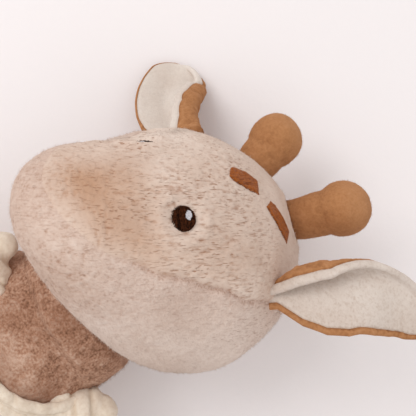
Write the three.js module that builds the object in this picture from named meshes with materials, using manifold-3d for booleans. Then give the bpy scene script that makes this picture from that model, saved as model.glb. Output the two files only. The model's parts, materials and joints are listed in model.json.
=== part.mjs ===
// A plush giraffe in a cotton romper that lies on its back with its head turned to one side.
// Millimetres. +X runs to the toy's left hand, +Y to its head, and +Z out of its chest.
// Each stuffed form is a smooth hull stretched over a few round lobes, as cloth is over filling.

import * as THREE from 'three';
import { mergeVertices } from 'three/addons/utils/BufferGeometryUtils.js';
import Module from 'manifold-3d';

const wasm = await Module();
wasm.setup();

// Cloth, seams and clearances
const plushThickness = 2.2;
const cottonThickness = 1.4;
const embroideryThickness = 0.9;
const seamGap = 0.3;
const swingClearance = 0.8;
const fillingGap = 0.9;
const restFlat = 0.5;
const cutOverrun = 150;

// Head, in its own frame: +Y through the crown, +Z along the muzzle, +X to the toy's left
const skullRadius = 36;
const muzzleRadius = 16;
const muzzleHalfSpacing = 11.9;
const muzzleDrop = 7.75;
const muzzleReach = 51.6;
const cheekRadius = 39.1;
const cheekHalfSpacing = 15.6;
const cheekDrop = 15.85;
const cheekSetBack = 8.6;
const crownRadius = 34.7;
const crownDrop = 10.7;
const crownSetBack = 35;
const headNod = THREE.MathUtils.degToRad(31.4);
const headTurn = THREE.MathUtils.degToRad(31.2);
const nodSwing = THREE.MathUtils.degToRad(16);

// The seam between the face panel and the jaw panel, seen from the side:
// shares of the muzzle's reach along the head, and of the skull's radius above its middle
const panelSeamShares = [
  [2.4, 0.02], [1.25, 0.08], [0.9, 0.15], [0.5, 0.25], [0.2, 0.29], [-0.4, 0.28],
  [-0.8, 0.2], [-1.2, 0.02], [-2.4, -0.1],
];

// Embroidery on the face
const eyeRadius = 5;
const glintHalfWidth = 1.5;
const glintHalfHeight = 2.3;
const glintRise = 1.2;
const glintSetBack = 1.9;
const markLength = 19.5;
const markWidth = 7.8;
const eyeSides = 14;

// Ossicones: a stuffed stem with a round knob
const knobRadius = 12;
const stemRadius = 7.6;
const stemLength = 29;

// Ears
const earLength = 66;
const earHalfWidth = 17;
const earBackThickness = 1.8;
const earLiningThickness = 1.2;
const earRim = 2.6;
const earRootGap = 1;
const earRootCurl = THREE.MathUtils.degToRad(88);
const earTipCurl = THREE.MathUtils.degToRad(20);
const earLowerCurl = THREE.MathUtils.degToRad(32);
const earCurlShare = 0.8;

// Neck
const neckDomeRadius = 22;
const neckBaseRadius = 27;
const neckSink = 9;
const neckLength = 21;

// Torso, measured from the neck's pivot towards the feet and from the belly's axis
const collarLobeRadius = 29;
const collarLobeReach = 31;
const collarRise = 6;
const chestLobeRadius = 21;
const chestHalfSpacing = 17;
const chestReach = 44;
const chestDip = 2;
const bellyRadius = 35;
const bellyHalfSpacing = 15;
const bellyReach = 94;
const seatRadius = 25;
const seatHalfSpacing = 17;
const seatReach = 122;
const seatDip = 5;

// Romper
const necklineHalfWidth = 33;
const necklineTop = 30;
const necklineDepth = 25;
const backNecklineDepth = 8;
const hemWidth = 4.5;
const hemThickness = 2;
const armholeRadius = 15.5;
const tieRadius = 8.5;
const tieReach = 34;
const tieSpread = 40;
const tieRise = 11;
const tieTailLength = 20;
const tieTailWidth = 9;

// Arms and legs
const armLength = 88;
const armBallRadius = 11.5;
const armWaistRadius = 10;
const armRadius = 13;
const armSeat = 2.5;
const armReach = 56;
const armSpread = THREE.MathUtils.degToRad(30);
const legLength = 122;
const legBallRadius = 14;
const legWaistRadius = 13.2;
const legRadius = 17;
const legSeat = 4;
const legSpread = THREE.MathUtils.degToRad(7);
const hoofShare = 0.26;
const trouserLength = 34;
const trouserFlare = 4;
const trouserRimAngle = THREE.MathUtils.degToRad(34);
const trouserFallAngle = THREE.MathUtils.degToRad(104);

// Tail
const tailRadius = 3.4;
const tailLength = 46;
const tuftRadius = 7;
const tuftLength = 24;
const tailHeight = 10;

// Colours
const beigePlush = { color: 0xd2b6a6, roughness: 0.95 };
const tanPlush = { color: 0xa87f66, roughness: 0.95 };
const hornPlush = { color: 0xb57f57, roughness: 0.9 };
const earTan = { color: 0xb07c55, roughness: 0.9 };
const creamPlush = { color: 0xe2d6cc, roughness: 0.95 };
const creamCotton = { color: 0xe0d0bb, roughness: 0.9 };
const rustThread = { color: 0x7f4220, roughness: 0.7 };
const brownThread = { color: 0x38200f, roughness: 0.55 };
const whiteThread = { color: 0xd9d8dc, roughness: 0.5 };
const brownPlush = { color: 0x8a5a3c, roughness: 0.95 };
const filling = { color: 0xf2f1ee, roughness: 1 };

// How finely each form is divided
const bodyDetail = 6;
const fillingDetail = 4;
const smallDetail = 3;
const patchDetail = 16;
const limbSides = 16;
const hullPower = 10;

// A mesh with shared corners and no flat triangles
function closedMesh(geometry) {
  const bare = new THREE.BufferGeometry();
  bare.setAttribute('position', geometry.getAttribute('position').clone());
  if (geometry.index) bare.setIndex(geometry.index.clone());
  const merged = mergeVertices(bare);
  const from = merged.index.array;
  const kept = [];
  for (let i = 0; i < from.length; i += 3) {
    const [a, b, c] = [from[i], from[i + 1], from[i + 2]];
    if (a !== b && b !== c && c !== a) kept.push(a, b, c);
  }
  merged.setIndex(kept);
  return merged;
}

function solidOf(geometry) {
  const closed = closedMesh(geometry);
  return new wasm.Manifold(new wasm.Mesh({
    numProp: 3,
    vertProperties: new Float32Array(closed.getAttribute('position').array),
    triVerts: new Uint32Array(closed.index.array),
  }));
}

function geometryOf(solid) {
  const mesh = solid.getMesh();
  const geometry = new THREE.BufferGeometry();
  geometry.setAttribute('position', new THREE.BufferAttribute(mesh.vertProperties, 3));
  geometry.setIndex(new THREE.BufferAttribute(mesh.triVerts, 1));
  geometry.computeVertexNormals();
  return geometry;
}

function meshOf(name, solid, finish) {
  const material = new THREE.MeshStandardMaterial({ ...finish, metalness: 0, flatShading: true });
  const mesh = new THREE.Mesh(geometryOf(solid), material);
  mesh.name = name;
  return mesh;
}

function lobe(x, y, z, radius) {
  return { centre: new THREE.Vector3(x, y, z), radius };
}

function lobePair(x, y, z, radius) {
  return [lobe(x, y, z, radius), lobe(-x, y, z, radius)];
}

function middleOf(lobes) {
  const middle = new THREE.Vector3();
  for (const one of lobes) middle.addScaledVector(one.centre, 1 / lobes.length);
  return middle;
}

// The point of the hull whose outward normal is the given direction
function hullPoint(lobes, direction, middle = middleOf(lobes)) {
  const reaches = lobes.map(
    (one) => Math.max(one.centre.clone().sub(middle).dot(direction) + one.radius, 0),
  );
  const reach = reaches.reduce((sum, each) => sum + each ** hullPower, 0) ** (1 / hullPower);
  const point = middle.clone();
  lobes.forEach((one, i) => {
    const weight = (reaches[i] / reach) ** (hullPower - 1);
    point.addScaledVector(one.centre.clone().sub(middle), weight);
    point.addScaledVector(direction, one.radius * weight);
  });
  return point;
}

// A closed form over the lobes, moved out by an offset along its normals
function hullGeometry(lobes, detail, offset = 0) {
  const geometry = closedMesh(new THREE.IcosahedronGeometry(1, detail));
  const position = geometry.getAttribute('position');
  const middle = middleOf(lobes);
  const direction = new THREE.Vector3();
  for (let i = 0; i < position.count; i += 1) {
    direction.fromBufferAttribute(position, i).normalize();
    const point = hullPoint(lobes, direction, middle).addScaledVector(direction, offset);
    position.setXYZ(i, point.x, point.y, point.z);
  }
  return geometry;
}

function hullSolid(lobes, detail, offset = 0) {
  return solidOf(hullGeometry(lobes, detail, offset));
}

// A turned solid about the Y axis from a profile of [radius, height] pairs, listed downwards
function turned(profile, sides = limbSides) {
  const points = profile.map(([radius, height]) => new THREE.Vector2(radius, height)).reverse();
  return solidOf(new THREE.LatheGeometry(points, sides));
}

// The same solid moved by a matrix
function moved(solid, matrix) {
  return solid.transform(matrix.elements);
}

function ball(centre, radius, detail = smallDetail) {
  const geometry = new THREE.IcosahedronGeometry(radius, detail);
  geometry.translate(centre.x, centre.y, centre.z);
  return solidOf(geometry);
}

function slab(width, depth, height, x, y, z) {
  const geometry = new THREE.BoxGeometry(width, depth, height);
  geometry.translate(x, y, z);
  return solidOf(geometry);
}

// An outline in a plane, extruded both ways through the part
function prism(shape, depth, matrix, curveSegments = 12) {
  const geometry = new THREE.ExtrudeGeometry(shape, { depth, bevelEnabled: false, curveSegments });
  geometry.translate(0, 0, -depth / 2);
  geometry.applyMatrix4(matrix);
  return solidOf(geometry);
}

// The space under the bed's surface, seen from inside a turned group
function bedIn(matrix) {
  const bed = slab(4 * cutOverrun, 4 * cutOverrun, cutOverrun, 0, 0, -cutOverrun / 2);
  return moved(bed, matrix.clone().invert());
}

// A matrix that stands at a point with its Z axis along the normal and its Y axis near a hint
function standingOn(point, normal, hint) {
  const z = normal.clone().normalize();
  const x = new THREE.Vector3().crossVectors(hint, z).normalize();
  const y = new THREE.Vector3().crossVectors(z, x);
  return new THREE.Matrix4().makeBasis(x, y, z).setPosition(point);
}

// Lobes of the head
const headLobes = [
  lobe(0, 0, 0, skullRadius),
  ...lobePair(muzzleHalfSpacing, -muzzleDrop, muzzleReach, muzzleRadius),
  ...lobePair(cheekHalfSpacing, -cheekDrop, -cheekSetBack, cheekRadius),
  lobe(0, -crownDrop, -crownSetBack, crownRadius),
];
const down = new THREE.Vector3(0, -1, 0);
const neckDrop = -hullPoint(headLobes, down).y - neckSink;

// Groups: the neck turns on the torso, and the head nods on the neck
const giraffe = new THREE.Group();
const neckGroup = new THREE.Group();
const headGroup = new THREE.Group();
neckGroup.rotation.y = -headTurn;
headGroup.rotation.x = headNod;
headGroup.position.set(0, neckDrop * Math.cos(headNod), neckDrop * Math.sin(headNod));
neckGroup.add(headGroup);
giraffe.add(neckGroup);

// The head lies on the bed, which sets the height of the neck's pivot
giraffe.updateMatrixWorld(true);
const lyingHead = hullGeometry(headLobes, bodyDetail).applyMatrix4(headGroup.matrixWorld);
lyingHead.computeBoundingBox();
const pivotHeight = -lyingHead.boundingBox.min.z - restFlat;
neckGroup.position.z = pivotHeight;
giraffe.updateMatrixWorld(true);
const headMatrix = headGroup.matrixWorld.clone();
const bedUnderHead = bedIn(headMatrix);

// Neck: a stuffed tube with a dome that fills the opening under the head
function neckProfile(extra) {
  const profile = [[0, neckDomeRadius + extra]];
  const steps = 7;
  for (let i = 1; i <= steps; i += 1) {
    const angle = (i / steps) * (Math.PI / 2);
    const radius = neckDomeRadius + extra;
    profile.push([radius * Math.sin(angle), radius * Math.cos(angle)]);
  }
  profile.push([(neckDomeRadius + neckBaseRadius) / 2 + extra, -neckLength / 2]);
  profile.push([neckBaseRadius + extra, -neckLength]);
  profile.push([0, -neckLength]);
  return profile;
}
const neckSides = 24;
neckGroup.add(meshOf('neck', turned(neckProfile(0), neckSides), tanPlush));

// The room that the neck needs inside the head while the head nods: the dome's own round
// seat, and round its foot a cone that is wider along the nod than across it
function neckRoom() {
  const seatRadius = neckDomeRadius + swingClearance;
  const mouthRadius = neckBaseRadius + swingClearance;
  const nodReach = neckLength * Math.tan(nodSwing) + mouthRadius / Math.cos(nodSwing);
  const lip = neckDomeRadius * Math.sin(nodSwing);
  const mouth = turned([
    [0, lip], [seatRadius, lip], [mouthRadius, -neckLength], [mouthRadius, -2 * neckLength],
    [0, -2 * neckLength],
  ]);
  const matrix = new THREE.Matrix4().makeTranslation(0, -neckDrop, 0)
    .multiply(new THREE.Matrix4().makeRotationX(-headNod))
    .multiply(new THREE.Matrix4().makeScale(1, 1, nodReach / mouthRadius));
  return moved(mouth, matrix).add(ball(new THREE.Vector3(0, -neckDrop, 0), seatRadius));
}
const neckOpening = neckRoom();

// Head: a face panel over a jaw panel round the filling
function panelSeam(lowering) {
  const path = panelSeamShares.map(([along, above]) => new THREE.Vector2(
    along * muzzleReach,
    above * skullRadius - lowering,
  ));
  const shape = new THREE.Shape([
    ...path,
    new THREE.Vector2(path.at(-1).x, 2 * cutOverrun),
    new THREE.Vector2(path[0].x, 2 * cutOverrun),
  ]);
  return prism(shape, 2 * cutOverrun, new THREE.Matrix4().makeRotationY(-Math.PI / 2));
}
const headSkin = hullSolid(headLobes, bodyDetail)
  .subtract(hullSolid(headLobes, bodyDetail, -plushThickness))
  .subtract(neckOpening)
  .subtract(bedUnderHead);
headGroup.add(meshOf('head_face_panel', headSkin.intersect(panelSeam(0)), beigePlush));
headGroup.add(meshOf('head_jaw_panel', headSkin.subtract(panelSeam(seamGap)), beigePlush));
const headFilling = hullSolid(headLobes, fillingDetail, -plushThickness - fillingGap)
  .subtract(neckOpening)
  .subtract(bedUnderHead);
headGroup.add(meshOf('head_filling', headFilling, filling));

// Embroidery: a raised patch of an outline that follows the head's surface
function headPatch(shape, normal, lift, thickness, hint, segments) {
  const direction = normal.clone().normalize();
  const foot = hullPoint(headLobes, direction);
  const matrix = standingOn(foot, direction, hint);
  const cutter = prism(shape, skullRadius, matrix, segments);
  return hullSolid(headLobes, patchDetail, lift + thickness)
    .subtract(hullSolid(headLobes, patchDetail, lift))
    .intersect(cutter);
}

function ovalShape(halfWidth, halfHeight, x = 0, y = 0) {
  const shape = new THREE.Shape();
  shape.absellipse(x, y, halfWidth, halfHeight, 0, 2 * Math.PI, false, 0);
  return shape;
}

// A bar with one slanting end and one square end, as the satin stitches leave it
const markOutlineShares = [
  [-0.5, -0.36], [-0.3, -0.5], [0, -0.5], [0.5, -0.4], [0.46, 0.42], [0.1, 0.5], [-0.26, 0.46],
  [-0.44, 0.3],
];
function markShape(length) {
  return new THREE.Shape(markOutlineShares.map(
    ([along, across]) => new THREE.Vector2(along * length, across * markWidth),
  ));
}

const crownward = new THREE.Vector3(0, 1, 0);
const muzzleward = new THREE.Vector3(0, 0, 1);
const eyes = [
  { side: 'left', normal: new THREE.Vector3(0.455, 0.812, 0.356) },
  { side: 'right', normal: new THREE.Vector3(-0.455, 0.812, 0.356) },
];
for (const { side, normal } of eyes) {
  const eye = headPatch(
    ovalShape(eyeRadius, eyeRadius), normal, seamGap, embroideryThickness, muzzleward, eyeSides,
  );
  headGroup.add(meshOf(`${side}_eye`, eye, brownThread));
  const lift = embroideryThickness + 2 * seamGap;
  const oval = ovalShape(glintHalfHeight, glintHalfWidth, glintRise, -glintSetBack);
  const glint = headPatch(oval, normal, lift, embroideryThickness / 2, muzzleward, eyeSides);
  headGroup.add(meshOf(`${side}_eye_glint`, glint, whiteThread));
}

// The two forehead marks are sewn by hand, so they are no exact mirror of each other
const marks = [
  {
    side: 'left',
    normal: new THREE.Vector3(0.379, 0.897, -0.223),
    along: new THREE.Vector3(0.51, -0.44, -0.74),
    lengthShare: 1,
  },
  {
    side: 'right',
    normal: new THREE.Vector3(0.158, 0.986, 0.019),
    along: new THREE.Vector3(0.31, -0.09, -0.95),
    lengthShare: 0.84,
  },
];
for (const { side, normal, along, lengthShare } of marks) {
  const across = new THREE.Vector3().crossVectors(normal, along);
  const shape = markShape(markLength * lengthShare);
  const patch = headPatch(shape, normal, seamGap, embroideryThickness, across);
  headGroup.add(meshOf(`${side}_forehead_mark`, patch, rustThread));
}

// Ossicones, seated on the head behind the marks
function ossiconeProfile() {
  const stemFoot = -stemLength;
  const profile = [[0, knobRadius]];
  const steps = 8;
  for (let i = 1; i <= steps; i += 1) {
    const angle = (i / steps) * Math.PI * 0.72;
    profile.push([knobRadius * Math.sin(angle), knobRadius * Math.cos(angle)]);
  }
  profile.push([stemRadius, stemFoot * 0.55]);
  profile.push([stemRadius * 1.08, stemFoot]);
  profile.push([0, stemFoot]);
  return profile;
}
const ossicones = [
  {
    side: 'left',
    knobShares: [0.492, 1.178, -1.525],
    lean: new THREE.Vector3(0.38, 0.85, -0.36),
  },
  {
    side: 'right',
    knobShares: [-0.686, 1.039, -1.214],
    lean: new THREE.Vector3(-0.45, 0.72, -0.52),
  },
];
const headSeat = hullSolid(headLobes, bodyDetail, seamGap);
for (const { side, knobShares, lean } of ossicones) {
  const knob = new THREE.Vector3(...knobShares).multiplyScalar(skullRadius);
  const upright = new THREE.Quaternion().setFromUnitVectors(crownward, lean.clone().normalize());
  const matrix = new THREE.Matrix4().makeRotationFromQuaternion(upright).setPosition(knob);
  const horn = moved(turned(ossiconeProfile()), matrix)
    .subtract(headSeat)
    .subtract(bedUnderHead);
  headGroup.add(meshOf(`${side}_ossicone`, horn, hornPlush));
}

// Ears: a tan back and a cream lining, with the crown side curled over towards the front
const bedward = new THREE.Vector3(0, 0, 1).transformDirection(headMatrix.clone().invert());
const ears = [
  {
    side: 'left',
    sign: 1,
    rootNormal: new THREE.Vector3(0.78, 0.59, -0.21),
    lineShares: [[0.13, 0.23, -0.12], [0.23, 0.39, -0.26], [0.33, 0.46, -0.48], [0.43, 0.46, -0.7]],
    widthShares: [0.3, 0.52, 0.78, 0.93, 0.96, 0.92, 0.8, 0.56, 0.24],
    crownShare: 0.92,
  },
  {
    side: 'right',
    sign: -1,
    rootNormal: new THREE.Vector3(-0.78, 0.59, -0.21),
    lineShares: [
      [-0.25, -0.08, -0.08], [-0.46, -0.08, -0.13], [-0.6, -0.01, -0.15], [-0.7, 0.13, -0.14],
    ],
    widthShares: [0.46, 0.68, 0.87, 1, 1.03, 0.97, 0.81, 0.57, 0.24],
    crownShare: 1.15,
  },
];

function valueAlong(shares, along) {
  const place = along * (shares.length - 1);
  const before = Math.min(Math.floor(place), shares.length - 2);
  return THREE.MathUtils.lerp(shares[before], shares[before + 1], place - before);
}

// The middle surface of an ear's back: along from root to tip, and across to the crown side
function earPoint(ear, along, across) {
  const centre = ear.line.getPoint(along);
  const tangent = ear.line.getTangent(along);
  const facing = bedward.clone().addScaledVector(tangent, -bedward.dot(tangent)).normalize();
  const crownSide = new THREE.Vector3().crossVectors(facing, tangent).multiplyScalar(ear.sign);
  const uncurled = Math.min(along / earCurlShare, 1);
  const curl = across > 0
    ? THREE.MathUtils.lerp(earRootCurl, earTipCurl, uncurled)
    : earLowerCurl;
  const crownShare = across > 0 ? ear.crownShare : 1;
  const width = earHalfWidth * crownShare * valueAlong(ear.widthShares, along);
  const sideways = Math.sin(curl * across) / curl;
  const lift = (1 - Math.cos(curl * across)) / curl;
  return centre.addScaledVector(crownSide, width * sideways).addScaledVector(facing, width * lift);
}

function earNormal(ear, along, across) {
  const step = 0.01;
  const a = THREE.MathUtils.clamp(along, step, 1 - step);
  const b = THREE.MathUtils.clamp(across, -1 + step, 1 - step);
  const alongWay = earPoint(ear, a + step, b).sub(earPoint(ear, a - step, b));
  const acrossWay = earPoint(ear, a, b + step).sub(earPoint(ear, a, b - step));
  return alongWay.cross(acrossWay).multiplyScalar(ear.sign).normalize();
}

// One layer of an ear as a closed sheet: its lowest face, its thickness and its rim left free
function earLayer(ear, low, thickness, rim, rows = 10, columns = 8) {
  const [alongEnd, acrossEnd] = [1 - rim / earLength, 1 - rim / earHalfWidth];
  const points = [];
  for (const height of [low, low + thickness]) {
    for (let i = 0; i <= rows; i += 1) {
      for (let j = 0; j <= columns; j += 1) {
        const along = Math.min(i / rows, alongEnd);
        const across = THREE.MathUtils.clamp(2 * (j / columns) - 1, -acrossEnd, acrossEnd);
        points.push(earPoint(ear, along, across)
          .addScaledVector(earNormal(ear, along, across), height));
      }
    }
  }
  return sheetSolid(points, rows, columns, ear.sign < 0);
}

// A closed body between two grids of points, listed row by row, the lower grid first
function sheetSolid(points, rows, columns, flip) {
  const position = new Float32Array(points.flatMap((point) => point.toArray()));
  const faces = [];
  const at = (top, i, j) => top * (rows + 1) * (columns + 1) + i * (columns + 1) + j;
  const quad = (a, b, c, d) => faces.push(...(flip ? [a, c, b, a, d, c] : [a, b, c, a, c, d]));
  for (let i = 0; i < rows; i += 1) {
    for (let j = 0; j < columns; j += 1) {
      quad(at(1, i, j), at(1, i + 1, j), at(1, i + 1, j + 1), at(1, i, j + 1));
      quad(at(0, i, j), at(0, i, j + 1), at(0, i + 1, j + 1), at(0, i + 1, j));
    }
    quad(at(0, i, 0), at(0, i + 1, 0), at(1, i + 1, 0), at(1, i, 0));
    quad(at(0, i + 1, columns), at(0, i, columns), at(1, i, columns), at(1, i + 1, columns));
  }
  for (let j = 0; j < columns; j += 1) {
    quad(at(0, 0, j + 1), at(0, 0, j), at(1, 0, j), at(1, 0, j + 1));
    quad(at(0, rows, j), at(0, rows, j + 1), at(1, rows, j + 1), at(1, rows, j));
  }
  const geometry = new THREE.BufferGeometry();
  geometry.setAttribute('position', new THREE.BufferAttribute(position, 3));
  geometry.setIndex(faces);
  return solidOf(geometry);
}

// The room that a form needs beside a piece that swings by these angles about a line
function sweptAbout(solid, point, axis, angles) {
  const home = new THREE.Matrix4().makeTranslation(point.x, point.y, point.z);
  const away = home.clone().invert();
  return angles.map((angle) => {
    const swing = new THREE.Matrix4().makeRotationAxis(axis, angle);
    return moved(solid, home.clone().multiply(swing).multiply(away));
  }).reduce((whole, each) => whole.add(each));
}

const earFolds = [-20, -7, 7, 20].map(THREE.MathUtils.degToRad);
for (const ear of ears) {
  const normal = ear.rootNormal.clone().normalize();
  const root = hullPoint(headLobes, normal).addScaledVector(normal, earRootGap);
  const line = ear.lineShares.map(
    (each) => new THREE.Vector3(...each).multiplyScalar(earLength).add(root),
  );
  ear.line = new THREE.CatmullRomCurve3([root, ...line]);
  const tangent = ear.line.getTangent(0);
  const hinge = new THREE.Vector3().crossVectors(bedward, tangent).normalize();
  const room = sweptAbout(hullSolid(headLobes, bodyDetail, seamGap), root, hinge, earFolds);
  const back = earLayer(ear, -earBackThickness / 2, earBackThickness, 0)
    .subtract(room).subtract(bedUnderHead);
  const lining = earLayer(ear, earBackThickness / 2 + seamGap, earLiningThickness, earRim)
    .subtract(room).subtract(bedUnderHead);
  headGroup.add(meshOf(`${ear.side}_ear_back`, back, earTan));
  headGroup.add(meshOf(`${ear.side}_ear_lining`, lining, creamPlush));
}

// Torso: the lobes lie round the belly's axis, and the neck's base stands on its flat top
const torsoLobes = [
  lobe(0, -collarLobeReach, collarRise, collarLobeRadius),
  ...lobePair(chestHalfSpacing, -chestReach, -chestDip, chestLobeRadius),
  ...lobePair(bellyHalfSpacing, -bellyReach, 0, bellyRadius),
  ...lobePair(seatHalfSpacing, -seatReach, -seatDip, seatRadius),
];
const romperOut = seamGap + cottonThickness;
const lyingRomper = hullGeometry(torsoLobes, bodyDetail, romperOut);
lyingRomper.computeBoundingBox();
const torsoHeight = -lyingRomper.boundingBox.min.z - restFlat;
const torsoGroup = new THREE.Group();
torsoGroup.position.z = torsoHeight;
giraffe.add(torsoGroup);
torsoGroup.updateMatrixWorld(true);
const bedUnderTorso = bedIn(torsoGroup.matrixWorld);
const neckPlane = -neckLength - seamGap;
const aboveNeckPlane = slab(
  2 * cutOverrun, cutOverrun, 2 * cutOverrun, 0, neckPlane + cutOverrun / 2, 0,
);

// Where a straight line from inside a hull leaves it
function exitPoint(lobes, offset, from, direction) {
  const hull = new THREE.Mesh(
    hullGeometry(lobes, bodyDetail, offset),
    new THREE.MeshBasicMaterial({ side: THREE.DoubleSide }),
  );
  const ray = new THREE.Raycaster(from, direction.clone().normalize());
  return ray.intersectObject(hull).at(-1).point;
}

const sides = [{ side: 'left', sign: 1 }, { side: 'right', sign: -1 }];
const trouserOut = seamGap + cottonThickness;
for (const one of sides) {
  const shoulderSide = new THREE.Vector3(one.sign, 0, 0);
  one.armPivot = exitPoint(torsoLobes, 0, new THREE.Vector3(0, -armReach, -chestDip), shoulderSide)
    .addScaledVector(shoulderSide, seamGap + armBallRadius - armSeat);
  const hipWay = new THREE.Vector3(one.sign * 0.25, -1, 0).normalize();
  one.legPivot = hullPoint(torsoLobes, hipWay)
    .addScaledVector(hipWay, seamGap + legBallRadius + trouserOut - legSeat);
}
const tailWay = new THREE.Vector3(0, -1, 0);
const tailFrom = new THREE.Vector3(0, -seatReach, tailHeight - torsoHeight);
const tailPivot = exitPoint(torsoLobes, 0, tailFrom, tailWay)
  .addScaledVector(tailWay, seamGap + tailRadius);

let limbSeats = ball(tailPivot, tailRadius + seamGap);
for (const one of sides) {
  limbSeats = limbSeats
    .add(ball(one.armPivot, armBallRadius + seamGap))
    .add(ball(one.legPivot, legBallRadius + trouserOut + seamGap));
}

const bodyCover = hullSolid(torsoLobes, bodyDetail)
  .subtract(hullSolid(torsoLobes, bodyDetail, -plushThickness))
  .subtract(limbSeats)
  .subtract(aboveNeckPlane)
  .subtract(bedUnderTorso);
torsoGroup.add(meshOf('body_cover', bodyCover, tanPlush));
const bodyFilling = hullSolid(torsoLobes, fillingDetail, -plushThickness - fillingGap)
  .subtract(limbSeats)
  .subtract(aboveNeckPlane)
  .subtract(bedUnderTorso);
torsoGroup.add(meshOf('body_filling', bodyFilling, filling));

// Romper: a sleeveless shell with a scooped neckline, armholes and openings for the legs
function necklineCutter(depth, widening, front) {
  const halfWidth = necklineHalfWidth + widening;
  const shape = new THREE.Shape();
  shape.moveTo(halfWidth, 0);
  shape.lineTo(halfWidth, -necklineTop);
  shape.absellipse(0, -necklineTop, halfWidth, depth + widening, 0, -Math.PI, true, 0);
  shape.lineTo(-halfWidth, 0);
  const matrix = new THREE.Matrix4().makeTranslation(0, 0, (front * cutOverrun) / 2);
  return prism(shape, cutOverrun, matrix, 24);
}

const romperTop = slab(
  2 * cutOverrun, cutOverrun, 2 * cutOverrun, 0, cutOverrun / 2 - tieReach + hemThickness, 0,
);
let romper = hullSolid(torsoLobes, bodyDetail, romperOut)
  .subtract(hullSolid(torsoLobes, bodyDetail, seamGap))
  .subtract(necklineCutter(necklineDepth, hemWidth + seamGap, 1))
  .subtract(necklineCutter(backNecklineDepth, 0, -1))
  .subtract(ball(tailPivot, 2 * tailRadius))
  .subtract(romperTop)
  .subtract(bedUnderTorso);
for (const { sign, armPivot, legPivot } of sides) {
  const armhole = new THREE.CylinderGeometry(armholeRadius, armholeRadius, cutOverrun, 24);
  armhole.rotateZ(Math.PI / 2);
  const armholeMiddle = armPivot.x + sign * (cutOverrun / 2 - 2 * armBallRadius);
  armhole.translate(armholeMiddle, armPivot.y, armPivot.z);
  romper = romper
    .subtract(solidOf(armhole))
    .subtract(ball(legPivot, legBallRadius + trouserOut + seamGap));
}
torsoGroup.add(meshOf('romper_body', romper, creamCotton));

const hem = hullSolid(torsoLobes, bodyDetail, seamGap + hemThickness)
  .subtract(hullSolid(torsoLobes, bodyDetail, seamGap))
  .intersect(necklineCutter(necklineDepth, hemWidth, 1))
  .subtract(necklineCutter(necklineDepth, 0, 1))
  .subtract(romperTop);
torsoGroup.add(meshOf('neckline_binding', hem, creamCotton));

// The straps of front and back are tied in a soft knot on each shoulder: a knot of three lobes
// with a loop behind it and a flat tail that lies on the chest
for (const { side, sign, armPivot } of sides) {
  const foot = new THREE.Vector3(sign * tieSpread, -tieReach, tieRise);
  const tailWayOut = new THREE.Vector3(-sign * 0.42, -0.9, 0.25).normalize();
  const loopWay = new THREE.Vector3(sign * 0.45, 0.85, -0.3).normalize();
  const at = (way, distance) => foot.clone().addScaledVector(way, distance);
  const knot = [
    { centre: foot, radius: tieRadius },
    { centre: at(tailWayOut, 0.6 * tieRadius), radius: 0.8 * tieRadius },
    { centre: at(loopWay, 0.6 * tieRadius), radius: 0.8 * tieRadius },
  ];
  const loop = [
    { centre: foot, radius: 0.4 * tieRadius },
    { centre: at(loopWay, 1.7 * tieRadius), radius: 0.62 * tieRadius },
  ];
  const flap = [-1, 1].flatMap((way) => {
    const across = new THREE.Vector3((way * tieTailWidth) / 2, 0, 0);
    return [
      { centre: at(across, 1 / 2), radius: 2 * cottonThickness },
      { centre: at(tailWayOut, tieTailLength).add(across), radius: cottonThickness },
    ];
  });
  const tie = hullSolid(knot, smallDetail)
    .add(hullSolid(loop, smallDetail))
    .add(hullSolid(flap, smallDetail - 1))
    .subtract(hullSolid(torsoLobes, bodyDetail, 2 * seamGap + hemThickness))
    .subtract(ball(armPivot, armBallRadius + swingClearance));
  torsoGroup.add(meshOf(`${side}_shoulder_tie`, tie, creamCotton));
}

// A limb hangs from a round top that turns in its seat, swells and ends in a hoof
function limbProfile({ ballRadius, waistRadius, radius, length }) {
  const profile = [[0, ballRadius]];
  const steps = 6;
  for (let i = 1; i <= steps; i += 1) {
    const angle = (i / steps) * THREE.MathUtils.degToRad(108);
    profile.push([ballRadius * Math.sin(angle), ballRadius * Math.cos(angle)]);
  }
  profile.push([waistRadius, -0.62 * ballRadius]);
  profile.push([THREE.MathUtils.lerp(waistRadius, radius, 0.6), -0.28 * length]);
  profile.push([radius, -0.5 * length]);
  profile.push([radius * 0.96, -(1 - hoofShare) * length]);
  profile.push([0, -(1 - hoofShare) * length]);
  return profile;
}

function hoofProfile({ radius, length }) {
  const top = -(1 - hoofShare) * length - seamGap;
  const round = radius * 0.62;
  const full = radius * 1.12;
  const floor = -length;
  const profile = [[0, top], [radius * 0.96, top], [full, top - 0.25 * hoofShare * length]];
  const steps = 5;
  for (let i = 0; i <= steps; i += 1) {
    const angle = (i / steps) * (Math.PI / 2);
    profile.push([full - round + round * Math.cos(angle), floor + round - round * Math.sin(angle)]);
  }
  profile.push([0, floor]);
  return profile;
}

// A short trouser leg: a turned shell over the top of the leg, open at both ends
function trouserProfile(limb) {
  const inner = [];
  const outer = [];
  const steps = 6;
  for (let i = 0; i <= steps; i += 1) {
    const angle = THREE.MathUtils.lerp(trouserRimAngle, trouserFallAngle, i / steps);
    const [inside, outside] = [limb.ballRadius + seamGap, limb.ballRadius + trouserOut];
    inner.push([inside * Math.sin(angle), inside * Math.cos(angle)]);
    outer.push([outside * Math.sin(angle), outside * Math.cos(angle)]);
  }
  const hemRadius = THREE.MathUtils.lerp(limb.waistRadius, limb.radius, 0.6) + trouserFlare;
  inner.push([hemRadius, -trouserLength]);
  outer.push([hemRadius + cottonThickness, -trouserLength]);
  return [...outer, ...inner.reverse(), outer[0]];
}

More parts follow.
